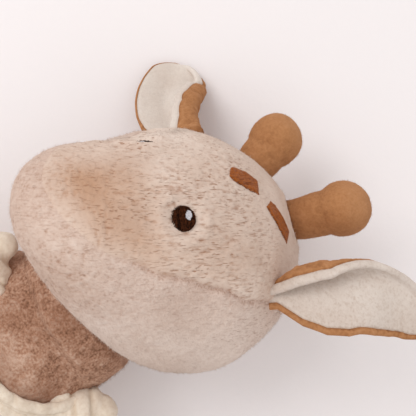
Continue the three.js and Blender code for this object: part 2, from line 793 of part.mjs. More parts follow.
function limbGroup(name, pivot, limb, spread, sign) {
  const group = new THREE.Group();
  group.name = name;
  const height = torsoHeight + pivot.z;
  const droop = Math.asin((height - limb.radius * 1.12 + restFlat) / (limb.length * 0.9));
  group.rotation.set(droop, 0, sign * spread, 'ZXY');
  group.position.copy(pivot);
  torsoGroup.add(group);
  group.updateMatrixWorld(true);
  return group;
}

const arm = {
  ballRadius: armBallRadius, waistRadius: armWaistRadius, radius: armRadius, length: armLength,
};
const leg = {
  ballRadius: legBallRadius, waistRadius: legWaistRadius, radius: legRadius, length: legLength,
};
for (const { side, sign, armPivot, legPivot } of sides) {
  const armGroup = limbGroup(`${side}_arm_swing`, armPivot, arm, armSpread, sign);
  const armBed = bedIn(armGroup.matrixWorld);
  armGroup.add(meshOf(`${side}_arm`, turned(limbProfile(arm)).subtract(armBed), beigePlush));
  armGroup.add(meshOf(`${side}_front_hoof`, turned(hoofProfile(arm)).subtract(armBed), hornPlush));
  const legGroup = limbGroup(`${side}_leg_swing`, legPivot, leg, legSpread, sign);
  const legBed = bedIn(legGroup.matrixWorld);
  legGroup.add(meshOf(`${side}_leg`, turned(limbProfile(leg)).subtract(legBed), beigePlush));
  legGroup.add(meshOf(`${side}_hind_hoof`, turned(hoofProfile(leg)).subtract(legBed), hornPlush));
  legGroup.add(meshOf(`${side}_trouser_leg`, turned(trouserProfile(leg)).subtract(legBed), creamCotton));
}

// Tail: a thin stuffed cord with a tuft
const tailGroup = new THREE.Group();
tailGroup.name = 'tail_swing';
const tailDroop = Math.asin((tailHeight - tuftRadius + restFlat) / (tailLength + tuftLength / 2));
tailGroup.position.copy(tailPivot);
tailGroup.rotation.x = tailDroop;
torsoGroup.add(tailGroup);
tailGroup.updateMatrixWorld(true);
const tailBed = bedIn(tailGroup.matrixWorld);
function tailProfile() {
  const profile = [[0, tailRadius]];
  const steps = 4;
  for (let i = 1; i <= steps; i += 1) {
    const angle = (i / steps) * (Math.PI / 2);
    profile.push([tailRadius * Math.sin(angle), tailRadius * Math.cos(angle)]);
  }
  return [...profile, [tailRadius, -tailLength], [0, -tailLength]];
}
function tuftProfile() {
  const top = -tailLength - seamGap;
  return [
    [0, top], [tailRadius * 1.15, top], [tuftRadius * 0.8, top - tuftLength * 0.2],
    [tuftRadius, top - tuftLength * 0.45], [tuftRadius * 0.85, top - tuftLength * 0.72],
    [tuftRadius * 0.4, top - tuftLength * 0.94], [0, top - tuftLength],
  ];
}
tailGroup.add(meshOf('tail', turned(tailProfile(), limbSides / 2).subtract(tailBed), tanPlush));
tailGroup.add(meshOf('tail_tuft', turned(tuftProfile(), limbSides / 2).subtract(tailBed), brownPlush));

// The middle of the whole toy stands over the origin
giraffe.updateMatrixWorld(true);
const whole = new THREE.Box3().setFromObject(giraffe, true).getCenter(new THREE.Vector3());
giraffe.position.set(-whole.x, -whole.y, 0);
giraffe.updateMatrixWorld(true);

export default giraffe;
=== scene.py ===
"""A plush giraffe in a cotton romper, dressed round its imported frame.

Shapes are worked out in millimetres in the row frame, +Z up out of the bed and +Y to the
giraffe's head, and handed to Blender in metres.
"""

import itertools
import json
import logging
import math
from collections.abc import Callable, Iterable, Sequence
from dataclasses import dataclass, field
from enum import Enum

import bmesh
import bpy
import numpy as np
from mathutils import Matrix, Vector
from mathutils.bvhtree import BVHTree


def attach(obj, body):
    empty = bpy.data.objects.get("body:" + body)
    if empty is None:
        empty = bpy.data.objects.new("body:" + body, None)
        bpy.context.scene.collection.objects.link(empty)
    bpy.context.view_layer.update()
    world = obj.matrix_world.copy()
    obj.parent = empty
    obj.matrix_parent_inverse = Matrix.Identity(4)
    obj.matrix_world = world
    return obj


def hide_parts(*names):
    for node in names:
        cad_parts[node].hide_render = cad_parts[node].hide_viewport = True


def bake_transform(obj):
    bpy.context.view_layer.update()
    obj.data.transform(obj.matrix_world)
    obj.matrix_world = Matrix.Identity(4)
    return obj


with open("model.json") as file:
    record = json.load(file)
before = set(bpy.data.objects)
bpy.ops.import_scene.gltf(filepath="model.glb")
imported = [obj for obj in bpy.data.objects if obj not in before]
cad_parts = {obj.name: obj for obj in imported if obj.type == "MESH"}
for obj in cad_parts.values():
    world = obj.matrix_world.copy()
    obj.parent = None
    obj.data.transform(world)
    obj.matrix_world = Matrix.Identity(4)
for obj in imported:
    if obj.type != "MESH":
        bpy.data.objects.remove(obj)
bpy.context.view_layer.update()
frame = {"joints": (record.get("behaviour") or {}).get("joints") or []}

log = logging.getLogger("giraffe")
MM = 0.001
WHITE = (255, 255, 255)
STIR = (73856093, 19349663, 83492791)
STIR_ROUNDS = ((15, 0x2C1B3C6D), (12, 0x297A2D39))
Array = np.ndarray
Triple = tuple[float, float, float]
Colour = tuple[int, int, int]
Socket = bpy.types.NodeSocket
Material = bpy.types.Material


class Side(Enum):
    """The giraffe's own left and right, as the sign of X."""

    LEFT = 1
    RIGHT = -1

    @property
    def word(self) -> str:
        """The side's name as the pieces' names use it."""
        return self.name.lower()


def joint_place(name: str) -> Array:
    """Gives the place of a joint of the frame.

    Args:
        name: The joint's name.

    Returns:
        The point in millimetres.
    """
    joint = next(each for each in frame["joints"] if each["name"] == name)
    return np.array(joint["pos_m"]) / MM


def unit(vector: Iterable[float]) -> Array:
    """Gives the vector at a length of one."""
    array = np.array(vector, float)
    return array / np.linalg.norm(array)


def units(vectors: Array) -> Array:
    """Gives each row's vector at a length of one."""
    return vectors / np.linalg.norm(vectors, axis=1, keepdims=True)


def placed(points: Array, matrix: Matrix) -> Array:
    """Gives points moved by a matrix in millimetres."""
    array = np.array(matrix)
    return points @ array[:3, :3].T + array[:3, 3]


def evened(line: Array, reach: int) -> Array:
    """Evens out a line of values with a bell.

    Args:
        line: The values in order.
        reach: How many values on each side take part.

    Returns:
        As many values, evened.
    """
    kernel = bump(np.linspace(-2, 2, 2 * reach + 1), 1.0)
    return np.convolve(np.pad(line, reach, mode="edge"), kernel / kernel.sum(), "valid")


def step(values: Array, low: float, high: float) -> Array:
    """Gives a smooth rise from 0 at low to 1 at high."""
    share = np.clip((values - low) / (high - low), 0, 1)
    return share * share * (3 - 2 * share)


def bump(values: Array, width: float) -> Array:
    """Gives a bell of height 1 at 0 that falls off over the width."""
    return np.exp(-((values / width) ** 2))


def lattice_noise(points: Array, seed: int) -> Array:
    """Gives smooth noise from -1 to 1 with one value per whole step.

    Args:
        points: Places in steps of the noise.
        seed: Picks one pattern.

    Returns:
        A value for each point.
    """
    cell = np.floor(points).astype(np.int64)
    part = points - cell
    ease = step(part, 0, 1)
    total = np.zeros(len(points))
    for corner in itertools.product((0, 1), repeat=3):
        place = cell + corner
        share = np.prod(np.where(corner, ease, 1 - ease), axis=1)
        mixed = np.bitwise_xor.reduce(place * STIR, axis=1)
        mixed = (mixed + seed * 40503) & 0xFFFFFFFF
        for shift, factor in STIR_ROUNDS:
            mixed = ((mixed ^ (mixed >> shift)) * factor) & 0xFFFFFFFF
        mixed ^= mixed >> 15
        total += share * (mixed & 0xFFFFFF) / 0xFFFFFF
    return 2 * total - 1


def grain(
    points: Array,
    size: float,
    seed: int,
    along: Array | None = None,
    stretch: float = 1.0,
    layers: int = 1,
) -> Array:
    """Gives noise of one grain size, drawn out along a direction.

    Args:
        points: Places in millimetres.
        size: The grain's size in millimetres.
        seed: Picks one pattern.
        along: The direction in which the grain is longer.
        stretch: How much longer the grain is along it.
        layers: How many finer layers are added.

    Returns:
        A value from about -1 to 1 for each point.
    """
    scaled = points / size
    if along is not None:
        scaled = scaled - np.outer(scaled @ along * (1 - 1 / stretch), along)
    total = np.zeros(len(points))
    weight = 1.0
    for layer in range(layers):
        total += weight * lattice_noise(scaled * 2**layer, seed + 17 * layer)
        weight /= 2
    return total


@dataclass
class Skin:
    """A surface in millimetres.

    Attributes:
        points: One row per point.
        faces: One row of four point numbers per face; a triangle repeats its last one.
        values: Numbers at the points that the finish reads.
    """

    points: Array
    faces: Array
    values: dict[str, Array] = field(default_factory=dict)

    def normals(self) -> Array:
        """Gives the outward direction at each point.

        Returns:
            One unit vector per point.
        """
        a, b, c, d = (self.points[self.faces[:, i]] for i in range(4))
        facing = np.cross(c - a, d - b)
        total = np.zeros_like(self.points)
        for i in range(4):
            np.add.at(total, self.faces[:, i], facing)
        return total / np.maximum(np.linalg.norm(total, axis=1, keepdims=True), 1e-12)

    def ends(self) -> Array:
        """Gives the two ends of every face's edges, in the face's turning order."""
        pairs = np.concatenate([self.faces[:, [i, (i + 1) % 4]] for i in range(4)])
        return pairs[pairs[:, 0] != pairs[:, 1]]

    def rim(self) -> Array:
        """Gives the two ends of every open edge.

        Returns:
            One pair of point numbers per edge, in its face's turning order.
        """
        ends = self.ends()
        _, first, uses = np.unique(
            np.sort(ends, axis=1), axis=0, return_index=True, return_counts=True
        )
        return ends[first[uses == 1]]

    def push(self, heights: Array) -> "Skin":
        """Moves each point out by its height and gives the skin back."""
        self.points = self.points + self.normals() * np.asarray(heights)[:, None]
        return self

    def smooth(self, rounds: int, where: Array | float = 1.0) -> "Skin":
        """Draws each point towards the middle of its neighbours.

        Args:
            rounds: How often it is done.
            where: A share for each point, or one for all.

        Returns:
            The skin itself.
        """
        ends = self.ends()
        count = np.bincount(ends[:, 0], minlength=len(self.points))
        pace = 0.6
        share = pace * (where if np.ndim(where) == 0 else np.asarray(where)[:, None])
        for _ in range(rounds):
            middle = np.stack(
                [
                    np.bincount(ends[:, 0], self.points[ends[:, 1], i], len(self.points))
                    for i in range(3)
                ],
                axis=1,
            )
            middle /= np.maximum(count, 1)[:, None]
            self.points = self.points + (middle - self.points) * share
        return self

    def kept(self, wanted: Array) -> "Skin":
        """Gives a part of the skin.

        Args:
            wanted: For each face whether it is kept.

        Returns:
            A new skin with only the points that those faces use.
        """
        faces = self.faces[wanted]
        used, flat = np.unique(faces, return_inverse=True)
        values = {name: each[used] for name, each in self.values.items()}
        return Skin(self.points[used], flat.reshape(faces.shape), values)

    def trimmed(self, height: Callable[[Array], Array]) -> "Skin":
        """Gives the part where the height is above 0, with its edge drawn onto the line.

        Args:
            height: Gives each point's distance from the line, above 0 inside.

        Returns:
            A new skin.
        """
        inside = height(self.points) > 0
        part = self.kept(inside[self.faces].all(axis=1))
        part.drawn(height, np.unique(part.rim()))
        return part

    def drawn(self, height: Callable[[Array], Array], where: Array) -> None:
        """Draws some points along the surface onto the line where the height is 0.

        Args:
            height: Gives each point's distance from the line.
            where: The numbers of the points.
        """
        normals = self.normals()[where]
        probe, rounds = 0.05, 4
        for _ in range(rounds):
            places = self.points[where]
            here = height(places)
            ways = [(height(places + probe * way) - here) / probe for way in np.eye(3)]
            slope = np.stack(ways, axis=1)
            slope -= (slope * normals).sum(1, keepdims=True) * normals
            share = here / np.maximum((slope**2).sum(1), 0.3)
            self.points[where] = places - slope * np.clip(share, -2, 2)[:, None]

    def parted(self, height: Callable[[Array], Array], near: float) -> tuple["Skin", "Skin"]:
        """Parts the skin along a line without a gap.

        Args:
            height: Gives each point's distance from the line.
            near: How far from the line the points are evened out.

        Returns:
            The part above 0 and the part below it.
        """
        heights = height(self.points)
        above = heights[self.faces].mean(axis=1) > 0
        self.drawn(height, np.intersect1d(self.faces[above], self.faces[~above]))
        self.smooth(3, bump(heights, near))
        return self.kept(above), self.kept(~above)

    def moved(self, matrix: Matrix) -> "Skin":
        """Gives the skin moved by a matrix in millimetres."""
        return Skin(placed(self.points, matrix), self.faces, dict(self.values))

    def laid(self, matrix: Matrix, floor: float = 0.3, soft: float = 3.0) -> "Skin":
        """Gives the skin moved by a matrix and flattened on the bed.

        Args:
            matrix: The move, in millimetres.
            floor: The lowest height.
            soft: Over how many millimetres it is flattened.

        Returns:
            A new skin, none of it below the floor.
        """
        skin = self.moved(matrix)
        skin.points = settled(skin.points, floor, soft)
        return skin

    def rows(self) -> list[list[int]]:
        """Gives the faces as lists without repeated points."""
        return [row[:3] if row[2] == row[3] else row for row in self.faces.tolist()]

    def tree(self) -> BVHTree:
        """Gives a tree of the faces for finding the surface."""
        return BVHTree.FromPolygons(self.points.tolist(), self.rows())


def voxel_skin(parts: Sequence[Skin], size: float) -> Skin:
    """Wraps overlapping closed parts in one skin of even faces.

    Args:
        parts: Closed skins.
        size: The faces' size in millimetres.

    Returns:
        One closed skin.
    """
    mesh = bpy.data.meshes.new("forming")
    points, rows, first = [], [], 0
    for part in parts:
        points.extend(part.points.tolist())
        rows.extend([[i + first for i in row] for row in part.rows()])
        first += len(part.points)
    mesh.from_pydata(points, [], rows)
    shape = bpy.data.objects.new("forming", mesh)
    bpy.context.scene.collection.objects.link(shape)
    remesh = shape.modifiers.new("even", "REMESH")
    remesh.mode = "VOXEL"
    remesh.voxel_size = size
    evaluated = shape.evaluated_get(bpy.context.evaluated_depsgraph_get())
    made = evaluated.to_mesh()
    flat = np.empty(len(made.vertices) * 3)
    made.vertices.foreach_get("co", flat)
    corners = np.empty(len(made.loops), np.int64)
    made.loops.foreach_get("vertex_index", corners)
    evaluated.to_mesh_clear()
    bpy.data.objects.remove(shape)
    bpy.data.meshes.remove(mesh)
    return Skin(flat.reshape(-1, 3), corners.reshape(-1, 4))


def ball(fineness: int) -> Skin:
    """Gives an even ball of radius 1 round the origin.

    Args:
        fineness: How often its faces are parted into smaller ones.

    Returns:
        The ball as a skin of triangles.
    """
    shape = bmesh.new()
    bmesh.ops.create_icosphere(shape, subdivisions=fineness, radius=1)
    points = np.array([v.co[:] for v in shape.verts])
    faces = np.array([[v.index for v in f.verts] + [f.verts[2].index] for f in shape.faces])
    shape.free()
    return Skin(units(points), faces)


def cap_profile(radius: float, angles: Array) -> list[tuple[float, float]]:
    """Gives the profile of a round top, as radius and height from its crown down."""
    return [(radius * math.sin(angle), radius * math.cos(angle)) for angle in angles]


def revolved(profile: Sequence[tuple[float, float]], sides: int) -> Skin:
    """Turns a profile about the Y axis.

    Args:
        profile: Pairs of radius and height from one end to the other.
        sides: How many columns the turn has.

    Returns:
        A closed skin if both ends are on the axis.
    """
    angles = np.linspace(0, 2 * math.pi, sides, endpoint=False)
    rows = [
        np.stack([r * np.cos(angles), np.full(sides, y), r * np.sin(angles)], axis=1)
        for r, y in profile
    ]
    return rings(np.array(rows))


def rings(rows: Array, closed: bool = True) -> Skin:
    """Joins rows of points into a surface.

    Args:
        rows: Points by row and column.
        closed: Whether the last column joins the first.

    Returns:
        The skin.
    """
    count, sides = rows.shape[:2]
    i, j = np.meshgrid(
        np.arange(count - 1), np.arange(sides if closed else sides - 1), indexing="ij"
    )
    after = (j + 1) % sides
    faces = np.stack(
        [i * sides + j, i * sides + after, (i + 1) * sides + after, (i + 1) * sides + j],
        axis=-1,
    )
    return Skin(rows.reshape(-1, 3), faces.reshape(-1, 4))


@dataclass(frozen=True)
class Lobe:
    """One round of a stuffed form, in millimetres."""

    x: float
    y: float
    z: float
    radius: float


class Hull:
    """The smooth form that cloth takes over a few round lobes."""

    POWER = 10

    def __init__(self, lobes: Sequence[Lobe]) -> None:
        """Takes the form's lobes.

        Args:
            lobes: The rounds that the cloth is drawn over.
        """
        self.centres = np.array([[each.x, each.y, each.z] for each in lobes])
        self.radii = np.array([each.radius for each in lobes])
        self.middle = self.centres.mean(axis=0)

    def points(self, directions: Array, offset: float = 0.0) -> Array:
        """Gives the points whose outward directions are the ones asked for.

        Args:
            directions: One unit vector per row.
            offset: How far outside the form the points lie.

        Returns:
            One point per row.
        """
        arms = self.centres - self.middle
        reaches = np.maximum(directions @ arms.T + self.radii, 0)
        reach = (reaches**self.POWER).sum(axis=1) ** (1 / self.POWER)
        weights = (reaches / reach[:, None]) ** (self.POWER - 1)
        out = weights @ self.radii + offset
        return self.middle + weights @ arms + directions * out[:, None]

    def skin(self, size: float, offset: float = 0.0) -> Skin:
        """Gives the form as a skin of even faces.

        Args:
            size: The faces' size in millimetres.
            offset: How far outside the form it lies.

        Returns:
            A closed skin.
        """
        shape = ball(6)
        shape.points = self.points(shape.points, offset)
        return voxel_skin([shape], size).smooth(2)


def lobe_pair(x: float, y: float, z: float, radius: float) -> list[Lobe]:
    """Gives a lobe and its mirror image."""
    return [Lobe(x, y, z, radius), Lobe(-x, y, z, radius)]


class Graph:
    """A material's nodes, with short ways to add and join them."""

    def __init__(self, name: str) -> None:
        """Starts an empty material.

        Args:
            name: The material's name.
        """
        self.material = bpy.data.materials.new(name)
        self.material.use_nodes = True
        self.tree = self.material.node_tree
        self.tree.nodes.clear()
        self.place = self.add("ShaderNodeTexCoord").outputs["Object"]

    def put(self, socket: Socket, value: object) -> None:
        """Joins an input to another node, or sets it.

        Args:
            socket: The input.
            value: The socket to join it to, or the number or colour to set.
        """
        if isinstance(value, Socket):
            self.tree.links.new(value, socket)
        else:
            socket.default_value = value

    def add(self, kind: str, **values: object) -> bpy.types.Node:
        """Adds a node and sets its inputs.

        Args:
            kind: The node's type.
            values: Inputs by name with _ for each space, as numbers or sockets to join.

        Returns:
            The node.
        """
        node = self.tree.nodes.new(kind)
        for name, value in values.items():
            self.put(node.inputs[name.replace("_", " ")], value)
        return node

    def noise(self, size_mm: float, detail: float = 2.0, **values: object) -> Socket:
        """Adds noise.

        Args:
            size_mm: The size of its grain.
            detail: How many finer layers it has.
            values: Other inputs; the places are the object's own if none are given.

        Returns:
            The socket of its value.
        """
        values.setdefault("Vector", self.place)
        node = self.add("ShaderNodeTexNoise", Scale=1 / (size_mm * MM), Detail=detail, **values)
        return node.outputs["Fac"]

    def value(self, name: str, kind: str = "Fac") -> Socket:
        """Gives a layer of the piece.

        Args:
            name: The layer's name.
            kind: Fac for a layer of numbers, Vector for one of places.

        Returns:
            The layer's socket.
        """
        node = self.add("ShaderNodeAttribute")
        node.attribute_name = name
        return node.outputs[kind]

    def reckon(self, how: str, *values: object) -> Socket:
        """Reckons with numbers.

        Args:
            how: The operation.
            values: Numbers or sockets, in the operation's order.

        Returns:
            The result's socket.
        """
        node = self.add("ShaderNodeMath")
        node.operation = how
        for socket, value in zip(node.inputs, values):
            self.put(socket, value)
        return node.outputs[0]

    def ramp(self, value: Socket, stops: Sequence[tuple[float, Colour]]) -> Socket:
        """Turns a value into a colour.

        Args:
            value: The value from 0 to 1.
            stops: Pairs of place and colour.

        Returns:
            The colour's socket.
        """
        node = self.add("ShaderNodeValToRGB", Fac=value)
        ramp = node.color_ramp
        ramp.elements[0].position, ramp.elements[1].position = stops[0][0], stops[-1][0]
        for place, _ in stops[1:-1]:
            ramp.elements.new(place)
        for element, (_, colour) in zip(ramp.elements, stops):
            element.color = linear(colour)
        return node.outputs["Color"]

    def mix(self, share: object, one: object, other: object, how: str = "MIX") -> Socket:
        """Mixes two colours.

        Args:
            share: How much of the other is taken, from 0 to 1.
            one: The colour at a share of 0.
            other: The colour at a share of 1.
            how: The way of mixing.

        Returns:
            The result's socket.
        """
        node = self.tree.nodes.new("ShaderNodeMix")
        node.data_type = "RGBA"
        node.blend_type = how
        for number, value in ((0, share), (6, one), (7, other)):
            self.put(node.inputs[number], value)
        return node.outputs[2]

    def finish(self, height: Socket, depth_mm: float, **values: object) -> Material:
        """Adds the shader and the output.

        Args:
            height: The socket of the surface's fine relief.
            depth_mm: How deep that relief is.
            values: The shader's inputs.

        Returns:
            The material.
        """
        relief = self.add("ShaderNodeBump", Height=height, Distance=depth_mm * MM, Strength=1.0)
        shader = self.add("ShaderNodeBsdfPrincipled", Normal=relief.outputs[0], **values)
        self.add("ShaderNodeOutputMaterial", Surface=shader.outputs[0])
        return self.material


def linear(colour: Colour) -> tuple[float, float, float, float]:
    """Gives a colour as Blender takes it.

    Args:
        colour: Red, green and blue as they look, from 0 to 255.

    Returns:
        The same as linear shares, with an alpha of 1.
    """
    shares = [each / 255 for each in colour]
    parts = [s / 12.92 if s <= 0.04045 else ((s + 0.055) / 1.055) ** 2.4 for s in shares]
    return (*parts, 1.0)


@dataclass(frozen=True)
class PlushFinish:
    """Brushed short-pile cloth, with painted shade between its tufts and in its brushing gaps."""

    name: str
    deep: Colour
    main: Colour
    tip: Colour
    # The colour that the tone value mixes in: a browner tint, and painted shade below the eyes and
    # on the ossicones' stems.
    worn: Colour
    grain_mm: float = 1.3
    depth_mm: float = 0.35
    sheen: float = 0.25
    comb: float = 1.0
    contrast: float = 0.5
    dash_mm: float = 0.58
    dash_stretch: float = 9.0
    dash_dark: float = 0.7
    dash_slope: float = -9.0
    dash_start: float = 3.7
    broad_mm: float = 26.0

    def combed(self, graph: Graph, stretch: float) -> Socket:
        """Gives places drawn out the way that the pile was brushed."""
        lie = graph.value("lie", "Vector")
        return graph.add("ShaderNodeMapping", Vector=lie, Scale=(1 / stretch, 1, 1)).outputs[0]

    def dashes(self, graph: Graph) -> Socket:
        """Gives the short gaps that brushing leaves, where painted shade goes.

        Args:
            graph: The material's nodes.

        Returns:
            A socket from 0 between the gaps to 1 in them.
        """
        noise = graph.noise(
            self.dash_mm, 1.0, Vector=self.combed(graph, self.dash_stretch), Distortion=0.4
        )
        gap = graph.reckon("MULTIPLY_ADD", noise, self.dash_slope, self.dash_start)
        gap = graph.reckon("MINIMUM", graph.reckon("MAXIMUM", gap, 0.0), 1.0)
        return graph.reckon("MULTIPLY", gap, graph.value("brush"))

    def make(self) -> Material:
        """Makes the material.

        Returns:
            The material, ready to wear.
        """
        graph = Graph(self.name)
        dashes = self.dashes(graph)
        lie = self.combed(graph, self.comb)
        fine = graph.noise(self.grain_mm, 3.0, Vector=lie)
        broad = graph.noise(self.broad_mm)
        pile = graph.reckon("MULTIPLY_ADD", fine, self.contrast, graph.value("pile"))
        pile = graph.reckon("SUBTRACT", pile, 0.5 * self.contrast)
        # Painted shade and light on the tufts: low pile values take the deep colour, high ones the
        # lighter tip colour.
        colour = graph.ramp(pile, [(0.0, self.deep), (0.5, self.main), (1.0, self.tip)])
        colour = graph.mix(graph.value("tone"), colour, linear(self.worn))
        shade = graph.ramp(broad, [(0.3, (238, 232, 228)), (0.7, WHITE)])
        colour = graph.mix(1.0, colour, shade, "MULTIPLY")
        shadow = graph.reckon("MULTIPLY", dashes, self.dash_dark)
        colour = graph.mix(shadow, colour, linear(self.deep))
        hairs = graph.noise(self.grain_mm / 3, 2.0, Vector=lie, Distortion=0.6)
        relief = graph.reckon("ADD", fine, graph.reckon("MULTIPLY", hairs, 0.6))
        relief = graph.reckon("SUBTRACT", relief, graph.reckon("MULTIPLY", dashes, 0.8))
        return graph.finish(
            relief, self.depth_mm, Base_Color=colour, Roughness=0.95, Specular_IOR_Level=0.15,
            Sheen_Weight=self.sheen, Sheen_Roughness=0.45, Sheen_Tint=linear(self.tip),
        )


@dataclass(frozen=True)
class CottonFinish:
    """Fine plain-woven cotton, with painted shade in its folds."""

    name: str
    main: Colour
    fold: Colour
    thread_mm: float = 0.32
    slub_mm: float = 1.6
    broad_mm: float = 18.0
    depth_mm: float = 0.12

    def make(self) -> Material:
        """Makes the material.

        Returns:
            The material, ready to wear.
        """
        graph = Graph(self.name)
        parts = graph.add("ShaderNodeSeparateXYZ", Vector=graph.place).outputs
        turns = 2 * math.pi / (self.thread_mm * MM)
        wave = [
            graph.reckon("SINE", graph.reckon("MULTIPLY", each, turns))
            for each in (graph.reckon("ADD", parts[0], parts[2]), parts[1])
        ]
        weave = graph.reckon("MULTIPLY", *wave)
        slub = graph.noise(self.slub_mm, 3.0)
        broad = graph.noise(self.broad_mm)
        tone = graph.ramp(broad, [(0.3, (247, 244, 241)), (0.65, WHITE)])
        speck = graph.ramp(slub, [(0.3, (242, 237, 232)), (0.6, WHITE)])
        colour = graph.mix(1.0, linear(self.main), speck, "MULTIPLY")
        colour = graph.mix(1.0, colour, tone, "MULTIPLY")
        # Painted shade: the fold colour takes over where the pile value is low, in folds and
        # creases.
        colour = graph.mix(graph.value("pile"), linear(self.fold), colour)
        relief = graph.reckon("ADD", graph.reckon("MULTIPLY", weave, 0.35), slub)
        return graph.finish(
            relief, self.depth_mm, Base_Color=colour, Roughness=0.88, Specular_IOR_Level=0.2,
            Sheen_Weight=0.2, Sheen_Roughness=0.5,
        )


@dataclass(frozen=True)
class ThreadFinish:
    """Glossy embroidery thread."""

    name: str
    dark: Colour
    light: Colour
    roughness: float = 0.42
    gloss: float = 0.25
    ply_mm: float = 0.4
    depth_mm: float = 0.08

    def make(self) -> Material:
        """Makes the material.

        Returns:
            The material, ready to wear.
        """
        graph = Graph(self.name)
        ply = graph.noise(self.ply_mm)
        shown = graph.reckon("ADD", ply, graph.reckon("MULTIPLY", graph.value("pile"), 0.5))
        colour = graph.ramp(shown, [(0.62, self.dark), (0.88, self.light)])
        return graph.finish(
            ply, self.depth_mm, Base_Color=colour, Roughness=self.roughness,
            Specular_IOR_Level=self.gloss,
        )


# Painted shade deep in the pile, the main colour, lighter tips, and the browner tint colour.
BEIGE = ((150, 98, 66), (220, 199, 185), (231, 216, 204), (188, 148, 120))
FINISHES = {
    "beige_plush": PlushFinish("beige plush", *BEIGE, grain_mm=1.0, depth_mm=0.22, comb=2.2),
    "jaw_plush": PlushFinish(
        "jaw plush", (150, 104, 80), (214, 191, 178), (230, 213, 202), (188, 148, 120),
        grain_mm=0.8, depth_mm=0.28, comb=1.3, contrast=0.85,
    ),
    "chest_plush": PlushFinish(
        "brown curled plush", (104, 68, 48), (176, 134, 110), (208, 176, 156), (146, 102, 78),
        grain_mm=1.0, depth_mm=0.32, contrast=1.5,
    ),
    "limb_plush": PlushFinish("limb plush", *BEIGE, grain_mm=1.0, depth_mm=0.22, comb=1.6),
    "tan_plush": PlushFinish(
        "tan plush", (132, 86, 54), (178, 126, 84), (200, 150, 110), (150, 100, 66),
        grain_mm=0.9, depth_mm=0.25,
    ),
    "ear_lining": PlushFinish(
        "ear lining plush", (172, 148, 130), (213, 200, 190), (227, 217, 208), (196, 176, 160),
        grain_mm=0.8, depth_mm=0.2,
    ),
    "tuft_plush": PlushFinish(
        "tuft fibres", (62, 36, 24), (112, 72, 48), (150, 104, 76), (90, 56, 38)
    ),
    "cream_cotton": CottonFinish("cream cotton", (242, 228, 211), (206, 182, 154)),
    "rust_thread": ThreadFinish("rust thread", (126, 62, 16), (172, 96, 34)),
    "brown_thread": ThreadFinish(
        "dark brown thread", (18, 6, 2), (74, 38, 20), roughness=0.75, gloss=0.04
    ),
    "white_thread": ThreadFinish(
        "white thread", (172, 168, 172), (204, 201, 205), roughness=0.5
    ),
}


class Wardrobe:
    """Makes each finish once and dresses pieces in them."""

    def __init__(self) -> None:
        """Starts with nothing made."""
        self.made: dict[str, Material] = {}

    def material(self, slot: str) -> Material:
        """Gives the material of a slot.

        Args:
            slot: The finish's name.

        Returns:
            The material, made at the first call.
        """
        if slot not in self.made:
            self.made[slot] = FINISHES[slot].make()
        return self.made[slot]

    def piece(
        self,
        name: str,
        skin: Skin,
        slot: str,
        body: str | None,
        replaces: Sequence[str] = (),
        fill: float | None = None,
    ) -> bpy.types.Object:
        """Makes a piece of a skin and dresses it.

        Args:
            name: The piece's name.
            skin: Its surface in world millimetres.
            slot: The finish.
            body: The body that it rides on, or nothing to leave it unattached.
            replaces: The solids that it stands for.
            fill: How full it is where it is stuffed, from 0 to 1; not used.

        Returns:
            The object.
        """
        mesh = bpy.data.meshes.new(name)
        mesh.from_pydata((skin.points * MM).tolist(), [], skin.rows())
        for key, usual in (("pile", 0.5), ("tone", 0.0), ("brush", 0.0)):
            values = skin.values.get(key, np.full(len(skin.points), usual))
            layer = mesh.attributes.new(key, "FLOAT", "POINT")
            layer.data.foreach_set("value", values.astype(np.float32))
        lie = mesh.attributes.new("lie", "FLOAT_VECTOR", "POINT")
        places = skin.values.get("lie", skin.points) * MM
        lie.data.foreach_set("vector", places.astype(np.float32).ravel())
        mesh.polygons.foreach_set("use_smooth", [True] * len(mesh.polygons))
        mesh.materials.append(self.material(slot))
        mesh.update()
        shape = bpy.data.objects.new(name, mesh)
        bpy.context.scene.collection.objects.link(shape)
        if body is not None:
            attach(shape, body)
        if replaces:
            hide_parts(*replaces)
        log.info("%s: %d faces", name, len(skin.faces))
        return shape


def both(parts: Sequence[Skin]) -> Skin:
    """Puts several skins into one without joining them.

    Args:
        parts: The skins.

    Returns:
        One skin; a value that a part lacks is 0.5 there.
    """
    names = set().union(*(part.values for part in parts))
    firsts = np.cumsum([0] + [len(part.points) for part in parts])
    values = {
        name: np.concatenate(
            [part.values.get(name, np.full(len(part.points), 0.5)) for part in parts]
        )
        for name in names
    }
    return Skin(
        np.concatenate([part.points for part in parts]),
        np.concatenate([part.faces + first for part, first in zip(parts, firsts)]),
        values,
    )


def lipped(skin: Skin, depth: float, rows: int = 3) -> Skin:
    """Turns the open edge of a skin inwards, as a seam does.

    Args:
        skin: A skin with open edges.
        depth: How deep the edge goes in.
        rows: How many rows of faces the turn has.

    Returns:
        The skin with its edge turned in.
    """
    numbers, flat = np.unique(skin.rim(), return_inverse=True)
    one, other = flat.reshape(-1, 2).T
    inward = -skin.normals()[numbers]
    points, faces = [skin.points], [skin.faces]
    values = {name: [each] for name, each in skin.values.items()}
    for row in range(rows + 1):
        points.append(skin.points[numbers] + inward * depth * row / rows)
        for each in values.values():
            each.append(each[0][numbers] * (1 - row / rows))
    starts = len(skin.points) + len(numbers) * np.arange(rows + 1)
    for before, after in itertools.pairwise(starts):
        faces.append(
            np.stack([before + other, before + one, after + one, after + other], axis=1)
        )
    return Skin(
        np.concatenate(points),
        np.concatenate(faces),
        {name: np.concatenate(each) for name, each in values.items()},
    )


def settled(points: Array, floor: float = 0.3, soft: float = 3.0) -> Array:
    """Flattens what would sink into the bed.

    Args:
        points: World points.
        floor: The lowest height.
        soft: Over how many millimetres it is flattened.

    Returns:
        The points, none of them below the floor.
    """
    height = (points[:, 2] - floor) / soft
    eased = np.exp(np.minimum(height, 1) - 1)
    moved = points.copy()
    moved[:, 2] = floor + soft * np.where(height > 1, height, eased)
    return moved


